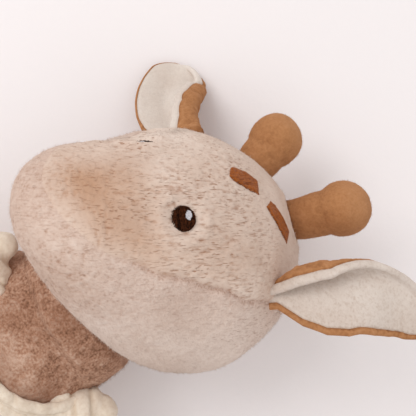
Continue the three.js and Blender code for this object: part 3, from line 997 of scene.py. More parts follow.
@dataclass(frozen=True)
class Fuzz:
    """Fine loose fibres that stand out of a plush skin."""

    per_mm2: float
    length_mm: float
    width_mm: float = 0.15
    lay: Triple = (0.0, 0.0, 0.0)
    stray: float = 0.35
    level: float = 0.8
    root_mm: float = 0.2

    def grown(self, skin: Skin, seed: int, share: Array | float = 1.0) -> Skin:
        """Grows the fibres.

        Args:
            skin: The plush that they stand on.
            seed: What the chance starts from.
            share: How thickly they stand at each point, from 0 to 1.

        Returns:
            The fibres alone.
        """
        chance = np.random.default_rng(seed)
        corners = skin.points[skin.faces]
        cross = np.cross(corners[:, 2] - corners[:, 0], corners[:, 3] - corners[:, 1])
        wanted = np.broadcast_to(share, len(skin.points))[skin.faces].mean(axis=1)
        amount = 0.5 * np.linalg.norm(cross, axis=1) * wanted * self.per_mm2
        picked = np.repeat(np.arange(len(corners)), chance.poisson(amount))
        count = len(picked)
        u, v = chance.uniform(0, 1, (2, count, 1))
        a, b, c, d = np.moveaxis(corners[picked], 1, 0)
        foot = (1 - u) * ((1 - v) * a + v * d) + u * ((1 - v) * b + v * c)
        normal = skin.normals()[skin.faces[picked, 0]]
        lay = np.array(self.lay)
        lay = lay - (normal @ lay)[:, None] * normal
        way = units(normal + lay + self.stray * chance.normal(0, 1, (count, 3)))
        across = units(np.cross(way, chance.normal(0, 1, (count, 3))))
        beside = np.cross(way, across)
        length = self.length_mm * chance.uniform(0.5, 1.15, (count, 1))
        half = 0.5 * self.width_mm
        rows = [
            foot - self.root_mm * normal
            + half * (math.cos(turn) * across + math.sin(turn) * beside)
            for turn in (0, math.tau / 3, 2 * math.tau / 3)
        ]
        rows.append(foot + way * length)
        points = np.stack(rows, axis=1).reshape(-1, 3)
        sides = np.array([[0, 1, 3, 3], [1, 2, 3, 3], [2, 0, 3, 3]])
        faces = (4 * np.arange(count)[:, None, None] + sides[None]).reshape(-1, 4)
        values = {
            name: np.repeat(each[skin.faces[picked, 0]], 4, axis=0)
            for name, each in skin.values.items()
        }
        values["pile"] = np.repeat(self.level + chance.uniform(-0.15, 0.15, count), 4)
        values["brush"] = np.zeros(len(points))
        return Skin(points, faces, values)


HEAD_LOBES = [
    Lobe(0, 0, 0, 36),
    *lobe_pair(11.9, -7.75, 51.6, 16),
    *lobe_pair(15.6, -15.85, -8.6, 39.1),
    Lobe(0, -10.7, -35, 34.7),
]


@dataclass
class HeadFrame:
    """The head's own frame: +Y through the crown, +Z along the muzzle, +X to the left."""

    turn: float = math.radians(31.2)
    nod: float = math.radians(31.4)
    neck_sink: float = 9.0
    hull: Hull = field(default_factory=lambda: Hull(HEAD_LOBES))

    def __post_init__(self) -> None:
        """Works out where the frame stands."""
        turned = Matrix.Rotation(-self.turn, 4, "Y") @ Matrix.Rotation(self.nod, 4, "X")
        drop = -self.hull.points(np.array([[0.0, -1, 0]]))[0, 1] - self.neck_sink
        pivot = Vector(joint_place("head_nod"))
        self.matrix = Matrix.Translation(pivot) @ turned @ Matrix.Translation((0, drop, 0))
        self.spin = np.array(turned)[:3, :3]

    def way_in(self, direction: Sequence[float]) -> Array:
        """Gives a world direction in the head's frame."""
        return np.array(direction) @ self.spin

    def foot(self, normal: Sequence[float]) -> Array:
        """Gives the head's point with the outward normal."""
        return self.hull.points(unit(normal)[None])[0]


EYE_NORMALS = {side: (0.455 * side.value, 0.812, 0.356) for side in Side}
IMAGE_RIGHT = unit((0.47, 0.88, 0))
IMAGE_UP = unit((-0.88, 0.47, 0))


class HeadZones:
    """Where each point of the head lies, before the fine relief."""

    def __init__(self, points: Array, seam: Array, place: HeadFrame) -> None:
        """Parts the head into face, jaw and nose.

        Args:
            points: Points in the head's frame.
            seam: Their heights above the seam.
            place: The head's frame.
        """
        self.points, self.seam = points, seam
        self.right, self.up = place.way_in(IMAGE_RIGHT), place.way_in(IMAGE_UP)
        self.face = step(seam, -1.5, 1.5)
        self.nose = step(points[:, 2], 46, 58)
        self.sewn = 1 - 0.8 * step(points[:, 2], 34, 56)


@dataclass
class HeadSkin:
    """The head's two panels of brushed plush, sewn along one wavy seam."""

    place: HeadFrame
    pile_mm: float = 0.55
    seam: Sequence[tuple[float, float]] = (
        (123.8, 0.7), (64.5, 2.9), (46.4, 5.4), (25.8, 9.0), (10.3, 10.4), (-20.6, 10.1),
        (-41.3, 7.2), (-61.9, 0.7), (-123.8, -3.6),
    )
    eyes: Sequence[Triple] = tuple(EYE_NORMALS.values())
    eye_sink: float = 1.0
    far_sink: float = 2.5
    far_fold: float = 2.0
    dent: float = 4.9
    dent_place: Triple = (-36.3, 10.5, 27.0)
    dent_width: float = 21.0
    lip_mm: float = 2.6
    horn_feet: Sequence[Triple] = ()

    def seam_height(self, points: Array) -> Array:
        """Gives the height above the seam, along the surface.

        Args:
            points: Points in the head's frame.

        Returns:
            Millimetres above the seam, below 0 on the jaw.
        """
        table = np.array(self.seam)[::-1]
        fine = np.linspace(-80, 80, 641)
        line = evened(np.interp(fine, table[:, 0], table[:, 1]), 24)
        wave = 0.7 * np.sin(fine / 4.3) * np.sin(fine / 9.7 + 1.0)
        return points[:, 1] - np.interp(points[:, 2], fine, line + wave)

    def formed(self) -> Skin:
        """Gives the whole head with its relief and its tones.

        Returns:
            A closed skin in the head's frame.
        """
        skin = self.place.hull.skin(self.pile_mm)
        from_dent = np.linalg.norm(skin.points - np.array(self.dent_place), axis=1)
        skin.push(-self.dent * bump(from_dent, self.dent_width))
        zones = HeadZones(skin.points, self.seam_height(skin.points), self.place)
        self.sew(skin, zones)
        self.brush(skin, zones)
        skin.values["tone"] = self.stains(zones)
        return skin

    def sew(self, skin: Skin, zones: HeadZones) -> None:
        """Presses the seam, the eyes and the ossicones' feet into the plush.

        Args:
            skin: The head.
            zones: Where its points lie.
        """
        points, seam = zones.points, zones.seam
        skin.push(0.7 * grain(points, 17, 3) + 0.3 * grain(points, 8, 4))
        pucker = 0.5 + 0.5 * grain(points, 3.2, 8)
        skin.push(
            zones.sewn
            * (
                -0.95 * bump(seam, 0.9)
                + 0.55 * bump(seam - 2.8, 1.7) * (0.5 + 0.8 * pucker)
                + 0.3 * bump(seam + 3.0, 2.2)
            )
        )
        for hidden, normal in enumerate(self.eyes):
            foot = self.place.foot(normal)
            away = np.linalg.norm(skin.points - foot, axis=1)
            toward = step((skin.points - foot) @ -zones.up, -1.0, 7.0)
            skin.push(
                -(self.eye_sink + self.far_sink * hidden) * bump(away, 6.0 + 0.8 * hidden)
                + 0.7 * bump(away - 9.5, 2.6)
                + self.far_fold * hidden * toward * bump(away - 7.5, 4.6)
            )
        for foot in self.horn_feet:
            away = np.linalg.norm(skin.points - np.array(foot), axis=1)
            skin.push(-1.6 * bump(away - 8.6, 2.2) + 0.7 * bump(away - 12.5, 2.4))

    def brush(self, skin: Skin, zones: HeadZones) -> None:
        """Combs the pile over the face, and curls it on the muzzle and the jaw, with painted light
        and shade in its pile values.

        Args:
            skin: The head, which gets the relief and its values.
            zones: Where its points lie.
        """
        points, seam, face, nose = zones.points, zones.seam, zones.face, zones.nose
        warp = np.stack([grain(points, 6, seed) for seed in (11, 12, 13)], axis=1)
        bent = points + 0.9 * warp
        toward = self.place.way_in((0, 0, 1))
        x, y, z = points @ zones.right, points @ zones.up, points @ toward
        lie = np.stack([62 * np.arctan2(x, z), y, np.hypot(x, z) / 3], axis=1)
        dashes = grain((lie + 0.7 * warp) * np.array([0.2, 1, 1]), 0.8, 21)
        upright = grain(bent, 0.8, 22, zones.up, 4.0)
        streaks = dashes * (1 - nose) + upright * nose
        fuzz = grain(points, 1.15, 23)
        curls = grain(bent, 1.9, 24)
        brushed = (
            step(points[:, 2], -40, 10)
            * face
            * step(seam, -1.2, 0.8)
            * (0.55 + 0.45 * step(grain(points, 12, 25), -0.3, 0.4))
        )
        loose = 0.18 * (1 - face * (1 - 0.7 * nose)) * (1 - 0.5 * step(points[:, 2], -20, 30))
        skin.push(0.3 * brushed * streaks + 0.1 * fuzz + (0.08 + loose) * curls)
        back = 1 - step(points[:, 2], -34, 18)
        chin = (1 - face) * step(seam, -40, -8) * (0.3 + 0.5 * back)
        skin.values["lie"] = lie
        skin.values["brush"] = np.clip(brushed * (1 - 0.3 * nose) + chin, 0, 1)
        # Painted shade in the combed gaps and along the seam; painted light towards IMAGE_UP and on
        # the jaw away from it.
        skin.values["pile"] = np.clip(
            0.56
            + 0.26 * brushed * np.clip(streaks * 1.4, -1, 0.4)
            + (0.24 - 0.16 * face) * fuzz * step(grain(points, 20, 26), -0.6, 0.3)
            + (0.05 + 0.1 * nose) * curls
            + 0.3 * step(y, 20, 42)
            + 0.34 * (1 - face) * step(-y, 24, 46)
            - 0.2 * zones.sewn * bump(seam, 1.1),
            0,
            1,
        )

    def stains(self, zones: HeadZones) -> Array:
        """Gives how far the plush is tinted browner at each point, with painted shade below the
        eye.

        Args:
            zones: Where the points lie.

        Returns:
            Shares from 0 to 1: most on the muzzle's top, and a little below the eye as painted
                shade.
        """
        points, nose = zones.points, zones.nose
        muzzle = step(points[:, 2], 28, 48) * step(zones.seam, -2, 7)
        muzzle = muzzle * (1 - 0.5 * step(points[:, 2], 58, 70))
        muzzle = muzzle * (1 - 0.75 * step(points @ zones.up, 16, 30))
        from_eye = points - self.place.foot(self.eyes[0])
        # Painted shade: a darker, browner patch below the eye.
        cheek_shade = bump(from_eye @ zones.up + 15, 9) * bump(from_eye @ zones.right + 6, 34)
        patches = 0.72 * muzzle * (0.7 + 0.45 * grain(points, 15, 31))
        return np.clip(patches + 0.26 * (cheek_shade * zones.face) + 0.12 * nose + 0.05, 0, 1)

    def build(self, wardrobe: Wardrobe) -> Skin:
        """Makes the two panels.

        Args:
            wardrobe: Dresses the pieces.

        Returns:
            The whole head in the head's frame, for sewing on.
        """
        skin = self.formed()
        upper, lower = skin.parted(self.seam_height, 1.6 * self.pile_mm)
        face, jaw = lipped(upper, self.lip_mm), lipped(lower, self.lip_mm)
        lay = tuple(0.9 * self.place.way_in(IMAGE_RIGHT))
        face_fuzz = Fuzz(per_mm2=0.5, length_mm=1.1, lay=lay).grown(upper, 51)
        jaw_fuzz = Fuzz(per_mm2=0.6, length_mm=1.3, lay=lay).grown(lower, 52)
        panels = (
            ("face_panel_plush", face, "beige_plush", ["head_face_panel", "head_filling"], 0.8),
            ("jaw_panel_plush", jaw, "jaw_plush", ["head_jaw_panel"], 0.8),
            ("face_fuzz", face_fuzz, "beige_plush", [], None),
            ("jaw_fuzz", jaw_fuzz, "jaw_plush", [], None),
        )
        for name, part, slot, nodes, fill in panels:
            wardrobe.piece(name, part.laid(self.place.matrix), slot, "head", nodes, fill)
        return skin


@dataclass
class Ossicone:
    """A stuffed stem with a round knob."""

    side: Side
    place: HeadFrame
    knob: Triple
    lean: Triple
    knob_radius: float = 12.0
    stem_radius: float = 7.6
    stem_length: float = 29.0
    pile_mm: float = 0.6

    def build(self, wardrobe: Wardrobe) -> None:
        """Makes the ossicone and its fibres.

        Args:
            wardrobe: Dresses the pieces.
        """
        profile = cap_profile(self.knob_radius, np.linspace(0, 0.7 * math.pi, 30))
        last = profile[-1]
        for share in np.linspace(0.1, 1, 16):
            radius = last[0] + (self.stem_radius * 1.1 - last[0]) * step(share, 0, 1)
            profile.append((radius, last[1] + (-self.stem_length - last[1]) * share))
        profile.append((0, -self.stem_length))
        skin = voxel_skin([revolved(profile, sides=90)], self.pile_mm).smooth(3)
        points = skin.points
        skin.push(0.7 * grain(points, 9, 41 + self.side.value) + 0.2 * grain(points, 3.4, 43))
        clumps = grain(points, 1.3, 45, layers=2)
        under = step(-points[:, 1], -2, 8)
        tufts = (0.06 + 0.08 * under) * clumps
        skin.push(tufts)
        # Painted light on the knob and painted shade on the stem, which is darker and browner.
        top = step(points[:, 1], -4, 9)
        skin.values["pile"] = np.clip(0.46 + 0.2 * top + tufts, 0, 1)
        skin.values["tone"] = 0.3 * (1 - step(points[:, 1], -20, -8))
        fibres = Fuzz(per_mm2=0.9, length_mm=0.9, width_mm=0.13, stray=0.6, level=0.62)
        fuzz = fibres.grown(skin, 53 + self.side.value)
        upright = Vector((0, 1, 0)).rotation_difference(Vector(self.lean)).to_matrix().to_4x4()
        matrix = self.place.matrix @ Matrix.Translation(self.knob) @ upright
        wardrobe.piece(
            f"{self.side.word}_ossicone_plush", skin.moved(matrix), "tan_plush", "head",
            [f"{self.side.word}_ossicone"], fill=0.85,
        )
        wardrobe.piece(f"{self.side.word}_ossicone_fuzz", fuzz.moved(matrix), "tan_plush", "head")


@dataclass
class Embroidery:
    """A patch of satin stitches laid side by side on the head."""

    name: str
    slot: str
    normal: Triple
    hint: Array
    outline: Array
    slant: float
    lift: float
    dome: float
    seed: int
    thread: float = 0.42
    stitch: float = 30.0
    search: float = 14.0
    shortest: float = 0.8

    def spans(self, rows: Array) -> list[tuple[float, float]]:
        """Gives where each row of thread enters and leaves the turned outline.

        Args:
            rows: The rows' heights.

        Returns:
            The two ends of each row.
        """
        cosine, sine = math.cos(self.slant), math.sin(self.slant)
        corners = self.outline @ np.array([[cosine, sine], [-sine, cosine]]).T
        spans = []
        for row in rows:
            cuts = []
            for (ax, ay), (bx, by) in zip(corners, np.roll(corners, -1, axis=0)):
                if (ay - row) * (by - row) < 0:
                    cuts.append(ax + (bx - ax) * (row - ay) / (by - ay))
            spans.append((min(cuts), max(cuts)) if len(cuts) > 1 else (0.0, 0.0))
        return spans

    def build(self, wardrobe: Wardrobe, place: HeadFrame, ground: BVHTree) -> None:
        """Sews the patch on.

        Args:
            wardrobe: Dresses the piece.
            place: The head's frame.
            ground: The plush that it is sewn on, in the head's frame.
        """
        chance = np.random.default_rng(self.seed)
        normal = unit(self.normal)
        side = unit(np.cross(self.hint, normal))
        ahead = np.cross(normal, side)
        foot = place.foot(self.normal)
        cosine, sine = math.cos(self.slant), math.sin(self.slant)
        reach = np.abs(self.outline).max() * 1.5
        rows = np.arange(-reach, reach, self.thread * 0.8)
        spans = self.spans(rows)
        widest = max(high - low for low, high in spans)
        parts = []
        for row, (low, high) in zip(rows, spans):
            if high - low < self.shortest:
                continue
            low, high = low - chance.uniform(0, 0.3), high + chance.uniform(0, 0.3)
            count = max(5, int((high - low) / 0.5))
            along = np.linspace(low, high, count)
            phase = chance.uniform(0, self.stitch)
            wander = 0.05 * np.sin(along / 1.7 + chance.uniform(0, 6))
            edge = np.minimum(along - low, high - along)
            swell = np.clip(edge / 1.1, 0, 1) ** 0.6
            share = math.sqrt(min((high - low) / widest, 1))
            gap = bump(((along + phase) % self.stitch) - 0.3, 0.3)
            lift = self.lift + self.dome * swell * share
            lift = lift - 0.16 * gap
            lift = lift - 0.3 * (1 - np.clip(edge / 0.35, 0, 1))
            lift[0], lift[-1] = lift[0] - 0.6, lift[-1] - 0.6
            centres = []
            for u, rise in zip(along, lift):
                x, y = cosine * u - sine * row, sine * u + cosine * row
                over = foot + side * x + ahead * y + normal * self.search
                hit = ground.ray_cast(Vector(over), Vector(-normal))[0]
                base = np.array(hit) if hit is not None else over - normal * self.search
                centres.append(base + normal * rise)
            centres = np.array(centres) + wander[:, None] * side
            way = side * cosine + ahead * sine
            across = np.cross(normal, way)
            angles = np.linspace(0, 2 * math.pi, 7)[:-1]
            half = self.thread * 0.56
            ring = np.outer(np.cos(angles) * half, across) + np.outer(
                np.sin(angles) * half * 0.8, normal
            )
            tube = rings(centres[:, None, :] + ring[None])
            # Each stitch gets its own tone, with painted shade where the thread dips at its stitch
            # gaps.
            level = 0.5 + chance.uniform(-0.18, 0.18)
            tube.values["pile"] = np.repeat(level - 0.4 * gap, len(angles))
            parts.append(tube)
        whole = both(parts)
        rise = (whole.points[3] - whole.points[0]) @ normal
        if (whole.normals()[3] @ normal) * rise < 0:
            whole.faces = whole.faces[:, ::-1]
        wardrobe.piece(
            f"{self.name}_stitches", whole.moved(place.matrix), self.slot, "head", [self.name]
        )


def curve_through(points: Array, shares: Array) -> Array:
    """Gives points on the smooth curve through a few points.

    Args:
        points: The points that the curve goes through.
        shares: Places along it from 0 to 1; a little outside goes straight on.

    Returns:
        One point for each share.
    """
    whole = np.concatenate([[2 * points[0] - points[1]], points, [2 * points[-1] - points[-2]]])
    place = np.clip(shares, 0, 1) * (len(points) - 1)
    cell = np.clip(place.astype(int), 0, len(points) - 2)
    t = (place - cell)[:, None]
    a, b, c, d = (whole[cell + i] for i in range(4))
    made = 0.5 * (
        2 * b + (c - a) * t + (2 * a - 5 * b + 4 * c - d) * t**2 + (3 * b - a - 3 * c + d) * t**3
    )
    beyond = (shares - np.clip(shares, 0, 1))[:, None] * (len(points) - 1)
    end = np.where(shares[:, None] < 0.5, points[1] - points[0], points[-1] - points[-2])
    return made + beyond * end


@dataclass
class Ear:
    """A cupped ear: a tan back and a cream lining, sewn together just off the edge.

    Attributes:
        side: Which ear.
        place: The head's frame.
        line: Points of its middle line from the root, as shares of its length.
        low_widths: Widths below the middle line, at even places from root to tip.
        crown_widths: Widths above it.
        headings: By share of the length, how many degrees the ear rises across at each knot.
        rim_at_tip: How much of the lower edge is turned over at the tip.
        length: Its length in millimetres.
        thickness: Its thickness.
        rows: How many rows of points it has along.
        columns: How many points each row has.
    """

    side: Side
    place: HeadFrame
    line: Sequence[Triple]
    low_widths: Sequence[float]
    crown_widths: Sequence[float]
    headings: Sequence[tuple[float, Sequence[float]]]
    rim_at_tip: float = 1.0
    length: float = 66.0
    thickness: float = 2.7
    rows: int = 150
    columns: int = 56

    KNOTS = (-1.0, -0.7, -0.3, 0.0, 0.3, 0.5, 0.7, 0.85, 1.0)
    RIM = (0, 0.04, 0.15, 0.35, 0.65, 1.0, 1.5, 2.1, 2.7)
    WRAP = (4.0, 3.3, 2.6, 1.9, 1.3, 0.8, 0.45, 0.18, 0.05, 0)
    TIP = 0.86
    ROOT = -0.14
    # Painted shade on the left lining and painted light on the right one, as their pile values.
    NAP = {Side.LEFT: 0.5, Side.RIGHT: 0.9}

    def widths(self, along: Array, shares: Sequence[float]) -> Array:
        """Gives a side's width, rounded off at the tip.

        Args:
            along: Shares of the length.
            shares: The widths at even places from root to tip.

        Returns:
            A width for each place along the ear.
        """
        width = np.interp(along, np.linspace(0, 1, len(shares)), shares)
        past = np.clip((along - self.TIP) / (1 - self.TIP), 0, 1)
        return width * np.sqrt(np.clip(1 - past**2, 0.002, 1))

    def middle(self, along: Array, arcs: Array, low: Array, crown: Array) -> Array:
        """Gives the ear's middle surface.

        Args:
            along: Shares of the length, one per row.
            arcs: Millimetres from the middle line, by row and column; above 0 to the crown.
            low: The width below the middle line, one per row.
            crown: The width above it.

        Returns:
            Points by row and column in world millimetres.
        """
        sign = self.side.value
        normal = unit((0.78 * sign, 0.59, -0.21))
        root = self.place.foot(normal) + normal
        stops = np.array([root] + [root + np.array(each) * self.length for each in self.line])
        stops = placed(stops, self.place.matrix)
        centre = curve_through(stops, along)
        tangent = units(curve_through(stops, along + 0.01) - curve_through(stops, along - 0.01))
        facing = units(np.array([0, 0, 1.0]) - tangent * tangent[:, 2:3])
        over = np.cross(facing, tangent) * sign
        table = np.radians(np.array([row for _, row in self.headings]))
        stations = np.array([each for each, _ in self.headings])
        points = []
        for i, share in enumerate(along):
            knots = [np.interp(share, stations, table[:, k]) for k in range(len(self.KNOTS))]
            fine = np.linspace(-low[i], crown[i], 260)
            across = np.where(fine < 0, fine / low[i], fine / crown[i])
            heading = evened(np.interp(across, self.KNOTS, knots), 12)
            pace = fine[1] - fine[0]
            sideways, lift = np.cumsum(np.cos(heading)) * pace, np.cumsum(np.sin(heading)) * pace
            sideways -= np.interp(0, fine, sideways)
            lift -= np.interp(0, fine, lift)
            points.append(
                centre[i]
                + np.outer(np.interp(arcs[i], fine, sideways), over[i])
                + np.outer(np.interp(arcs[i], fine, lift), facing[i])
            )
        return np.array(points)

    def arcs(self, low: Array, crown: Array, turned: Array) -> Array:
        """Spreads the columns over the ear, closest at the two edges.

        Args:
            low: The width below the middle line, one per row.
            crown: The width above it.
            turned: How much of the lower edge is turned over, one per row.

        Returns:
            Millimetres from the middle line, by row and column.
        """
        inner = self.columns - len(self.RIM) - len(self.WRAP)
        rows = []
        for left, right, share in zip(low, crown, turned):
            rim = np.array(self.RIM) * share * min(1, left / 5) - left
            wrap = right - np.array(self.WRAP) * min(1, right / 7)
            rows.append(np.concatenate([rim, np.linspace(rim[-1], wrap[0], inner + 2)[1:-1], wrap]))
        return np.array(rows)

    def joined(self, top: Array, bottom: Array) -> tuple[Skin, Array]:
        """Joins the ear's front and back with a wall round the edge.

        Args:
            top: The front's points, by row and column.
            bottom: The back's points.

        Returns:
            The closed skin, and for each face whether it belongs to the lining.
        """
        sheet = rings(top, closed=False)
        count, columns = self.rows * self.columns, self.columns
        cells = np.arange(len(sheet.faces)) % (columns - 1)
        down, over = np.arange(self.rows - 1) * columns, np.arange(columns - 1)
        sides = [
            (down, down + columns),
            (down + 2 * columns - 1, down + columns - 1),
            (over + 1, over),
            (count - columns + over, count - columns + over + 1),
        ]
        walls = [
            np.stack([one, other, other + count, one + count], axis=1) for one, other in sides
        ]
        faces = np.concatenate([sheet.faces, sheet.faces[:, ::-1] + count, *walls])
        rim, wrap = len(self.RIM) - 1, columns - len(self.WRAP)
        lining = np.concatenate(
            [cells >= rim, cells >= wrap]
            + [np.full(len(wall), number == 1) for number, wall in enumerate(walls)]
        )
        return Skin(np.concatenate([top.reshape(-1, 3), bottom.reshape(-1, 3)]), faces), lining

    def build(self, wardrobe: Wardrobe) -> None:
        """Makes the back and the lining.

        Args:
            wardrobe: Dresses the pieces.
        """
        along = np.linspace(self.ROOT, 1, self.rows)
        low, crown = self.widths(along, self.low_widths), self.widths(along, self.crown_widths)
        turned = 1 + (self.rim_at_tip - 1) * step(along, 0.1, 0.36)
        arcs = self.arcs(low, crown, turned)
        grid = self.middle(along, arcs, low, crown)
        normal = np.cross(np.gradient(grid, axis=0), np.gradient(grid, axis=1))
        normal *= -self.side.value / np.maximum(np.linalg.norm(normal, axis=2, keepdims=True), 1e-9)
        probe = (self.rows // 2, self.columns // 3)
        if normal[probe][2] < 0:
            normal = -normal
        left, right = arcs + low[:, None], crown[:, None] - arcs
        edge = np.minimum(np.minimum(left, right), ((1 - along) * self.length)[:, None])
        rounding = np.clip(1 - (1 - np.clip(edge / 1.4, 0, 1)) ** 2, 1e-4, 1)
        half = self.thickness / 2 * np.sqrt(rounding)
        places = grid.reshape(-1, 3)
        seed = 60 + self.side.value
        broad = (0.7 * grain(places, 11, seed)).reshape(edge.shape) * np.clip(edge / 6, 0, 1)
        fuzz = grain(places, 1.2, seed + 2, layers=2).reshape(edge.shape)
        fine = grain(places, 0.9, seed + 4, layers=2).reshape(edge.shape)
        shown = left / turned[:, None]
        seam, wrapped = bump(shown - self.RIM[-1], 0.55), bump(right - self.WRAP[0], 0.6)
        soft = np.clip(edge / 0.8, 0, 1)
        tan_front, cream_back = step(shown, 2.9, 2.4), step(right, 4.3, 3.7)
        front = half + broad - 0.45 * seam * soft
        front += soft * (0.07 * fine * (1 - tan_front) + 0.22 * fuzz * tan_front)
        back = -half + broad + 0.45 * wrapped * soft
        back -= soft * (0.07 * fine * cream_back + 0.2 * fuzz * (1 - cream_back))
        whole, lining = self.joined(
            grid + normal * front[..., None], grid + normal * back[..., None]
        )
        if whole.normals()[self.columns * probe[0] + probe[1]] @ normal[probe] < 0:
            whole.faces = whole.faces[:, ::-1]
        # Painted shade in the seam's groove and along the wrapped edge.
        seam_shade = 0.3 * np.stack([seam, wrapped])
        tan_pile = 0.5 + 0.22 * np.stack([fuzz, fuzz]) - seam_shade
        cream_pile = self.NAP[self.side] + 0.14 * np.stack([fine, fine]) - seam_shade
        whole.points = settled(whole.points, floor=0.4, soft=1.5)
        body = f"{self.side.word}_ear"
        for word, slot, part, pile in (
            ("lining", "ear_lining", lining, cream_pile),
            ("back", "tan_plush", ~lining, tan_pile),
        ):
            whole.values["pile"] = np.clip(pile.reshape(-1), 0, 1)
            name = f"{body}_{word}"
            wardrobe.piece(f"{name}_plush", whole.kept(part), slot, body, [name], fill=0.1)


TORSO_LOBES = [
    Lobe(0, 51.32, 44.95, 29),
    *lobe_pair(17, 38.32, 36.95, 21),
    *lobe_pair(15, -11.68, 38.95, 35),
    *lobe_pair(17, -39.68, 33.95, 25),
]


def shell(skin: Skin, thickness: float) -> Skin:
    """Gives cloth its thickness, inwards from an open skin.

    Args:
        skin: The outer face.
        thickness: How thick the cloth is.

    Returns:
        A closed sheet with rounded edges.
    """
    inner = Skin(
        skin.points - skin.normals() * thickness, skin.faces[:, ::-1], dict(skin.values)
    )
    one, other = skin.rim().T
    whole = both([skin, inner])
    over = len(skin.points)
    edge = np.stack([other, one, one + over, other + over], axis=1)
    whole.faces = np.concatenate([whole.faces, edge])
    return whole


@dataclass
class Body:
    """The brown plush body with its neck, which goes on under the head."""

    hull: Hull = field(default_factory=lambda: Hull(TORSO_LOBES))
    pile_mm: float = 0.85
    neck_dome: float = 24.0
    neck_base: float = 34.0
    neck_length: float = 23.0

    def build(self, wardrobe: Wardrobe) -> None:
        """Makes the body's plush and the loose fibres on the chest.

        Args:
            wardrobe: Dresses the pieces.
        """
        profile = cap_profile(self.neck_dome, np.linspace(0, math.pi / 2, 16))
        profile += [(0.93 * self.neck_base, -0.35 * self.neck_length)]
        profile += [(self.neck_base, -self.neck_length), (0, -self.neck_length)]
        neck = revolved(profile, sides=72)
        neck.points = neck.points + joint_place("head_nod")
        torso = ball(6)
        torso.points = self.hull.points(torso.points)
        skin = voxel_skin([torso, neck], self.pile_mm)
        join = bump(skin.points[:, 1] - 57, 17)
        skin.smooth(60, join)
        skin.points = settled(skin.points, floor=1.2)
        points = skin.points
        curls = grain(points, 2.6, 71, layers=2)
        tufts = grain(points, 5.5, 72)
        skin.push(0.9 * grain(points, 15, 73) + 0.36 * curls + 0.25 * tufts)
        lit = 0.35 * step(-points[:, 1], -50, -38)
        skin.values["pile"] = np.clip(0.5 + 0.2 * curls + 0.14 * tufts + lit, 0, 1)
        skin.values["tone"] = np.clip(0.12 + 0.4 * grain(points, 11, 74), 0, 0.6)
        bare = step(points[:, 1], 16, 24) * step(points[:, 2], 26, 36)
        bare = np.maximum(bare, step(points[:, 1], 51, 56))
        fibres = Fuzz(per_mm2=1.0, length_mm=1.6, width_mm=0.13, stray=0.8, level=0.66)
        fuzz = fibres.grown(skin, 55, bare)
        pieces = (
            ("body_plush", skin, ["body_cover", "body_filling", "neck"], 0.75),
            ("chest_fuzz", fuzz, [], None),
        )
        for name, part, nodes, fill in pieces:
            piece = wardrobe.piece(name, part, "chest_plush", None, nodes, fill)
            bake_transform(piece)


@dataclass(frozen=True)
class KnotSpot:
    """Where a shoulder's knot lies, and which ways its ends and its loops go."""

    side: Side
    foot: Array
    tail_way: Array
    loop_way: Array
    across: Array


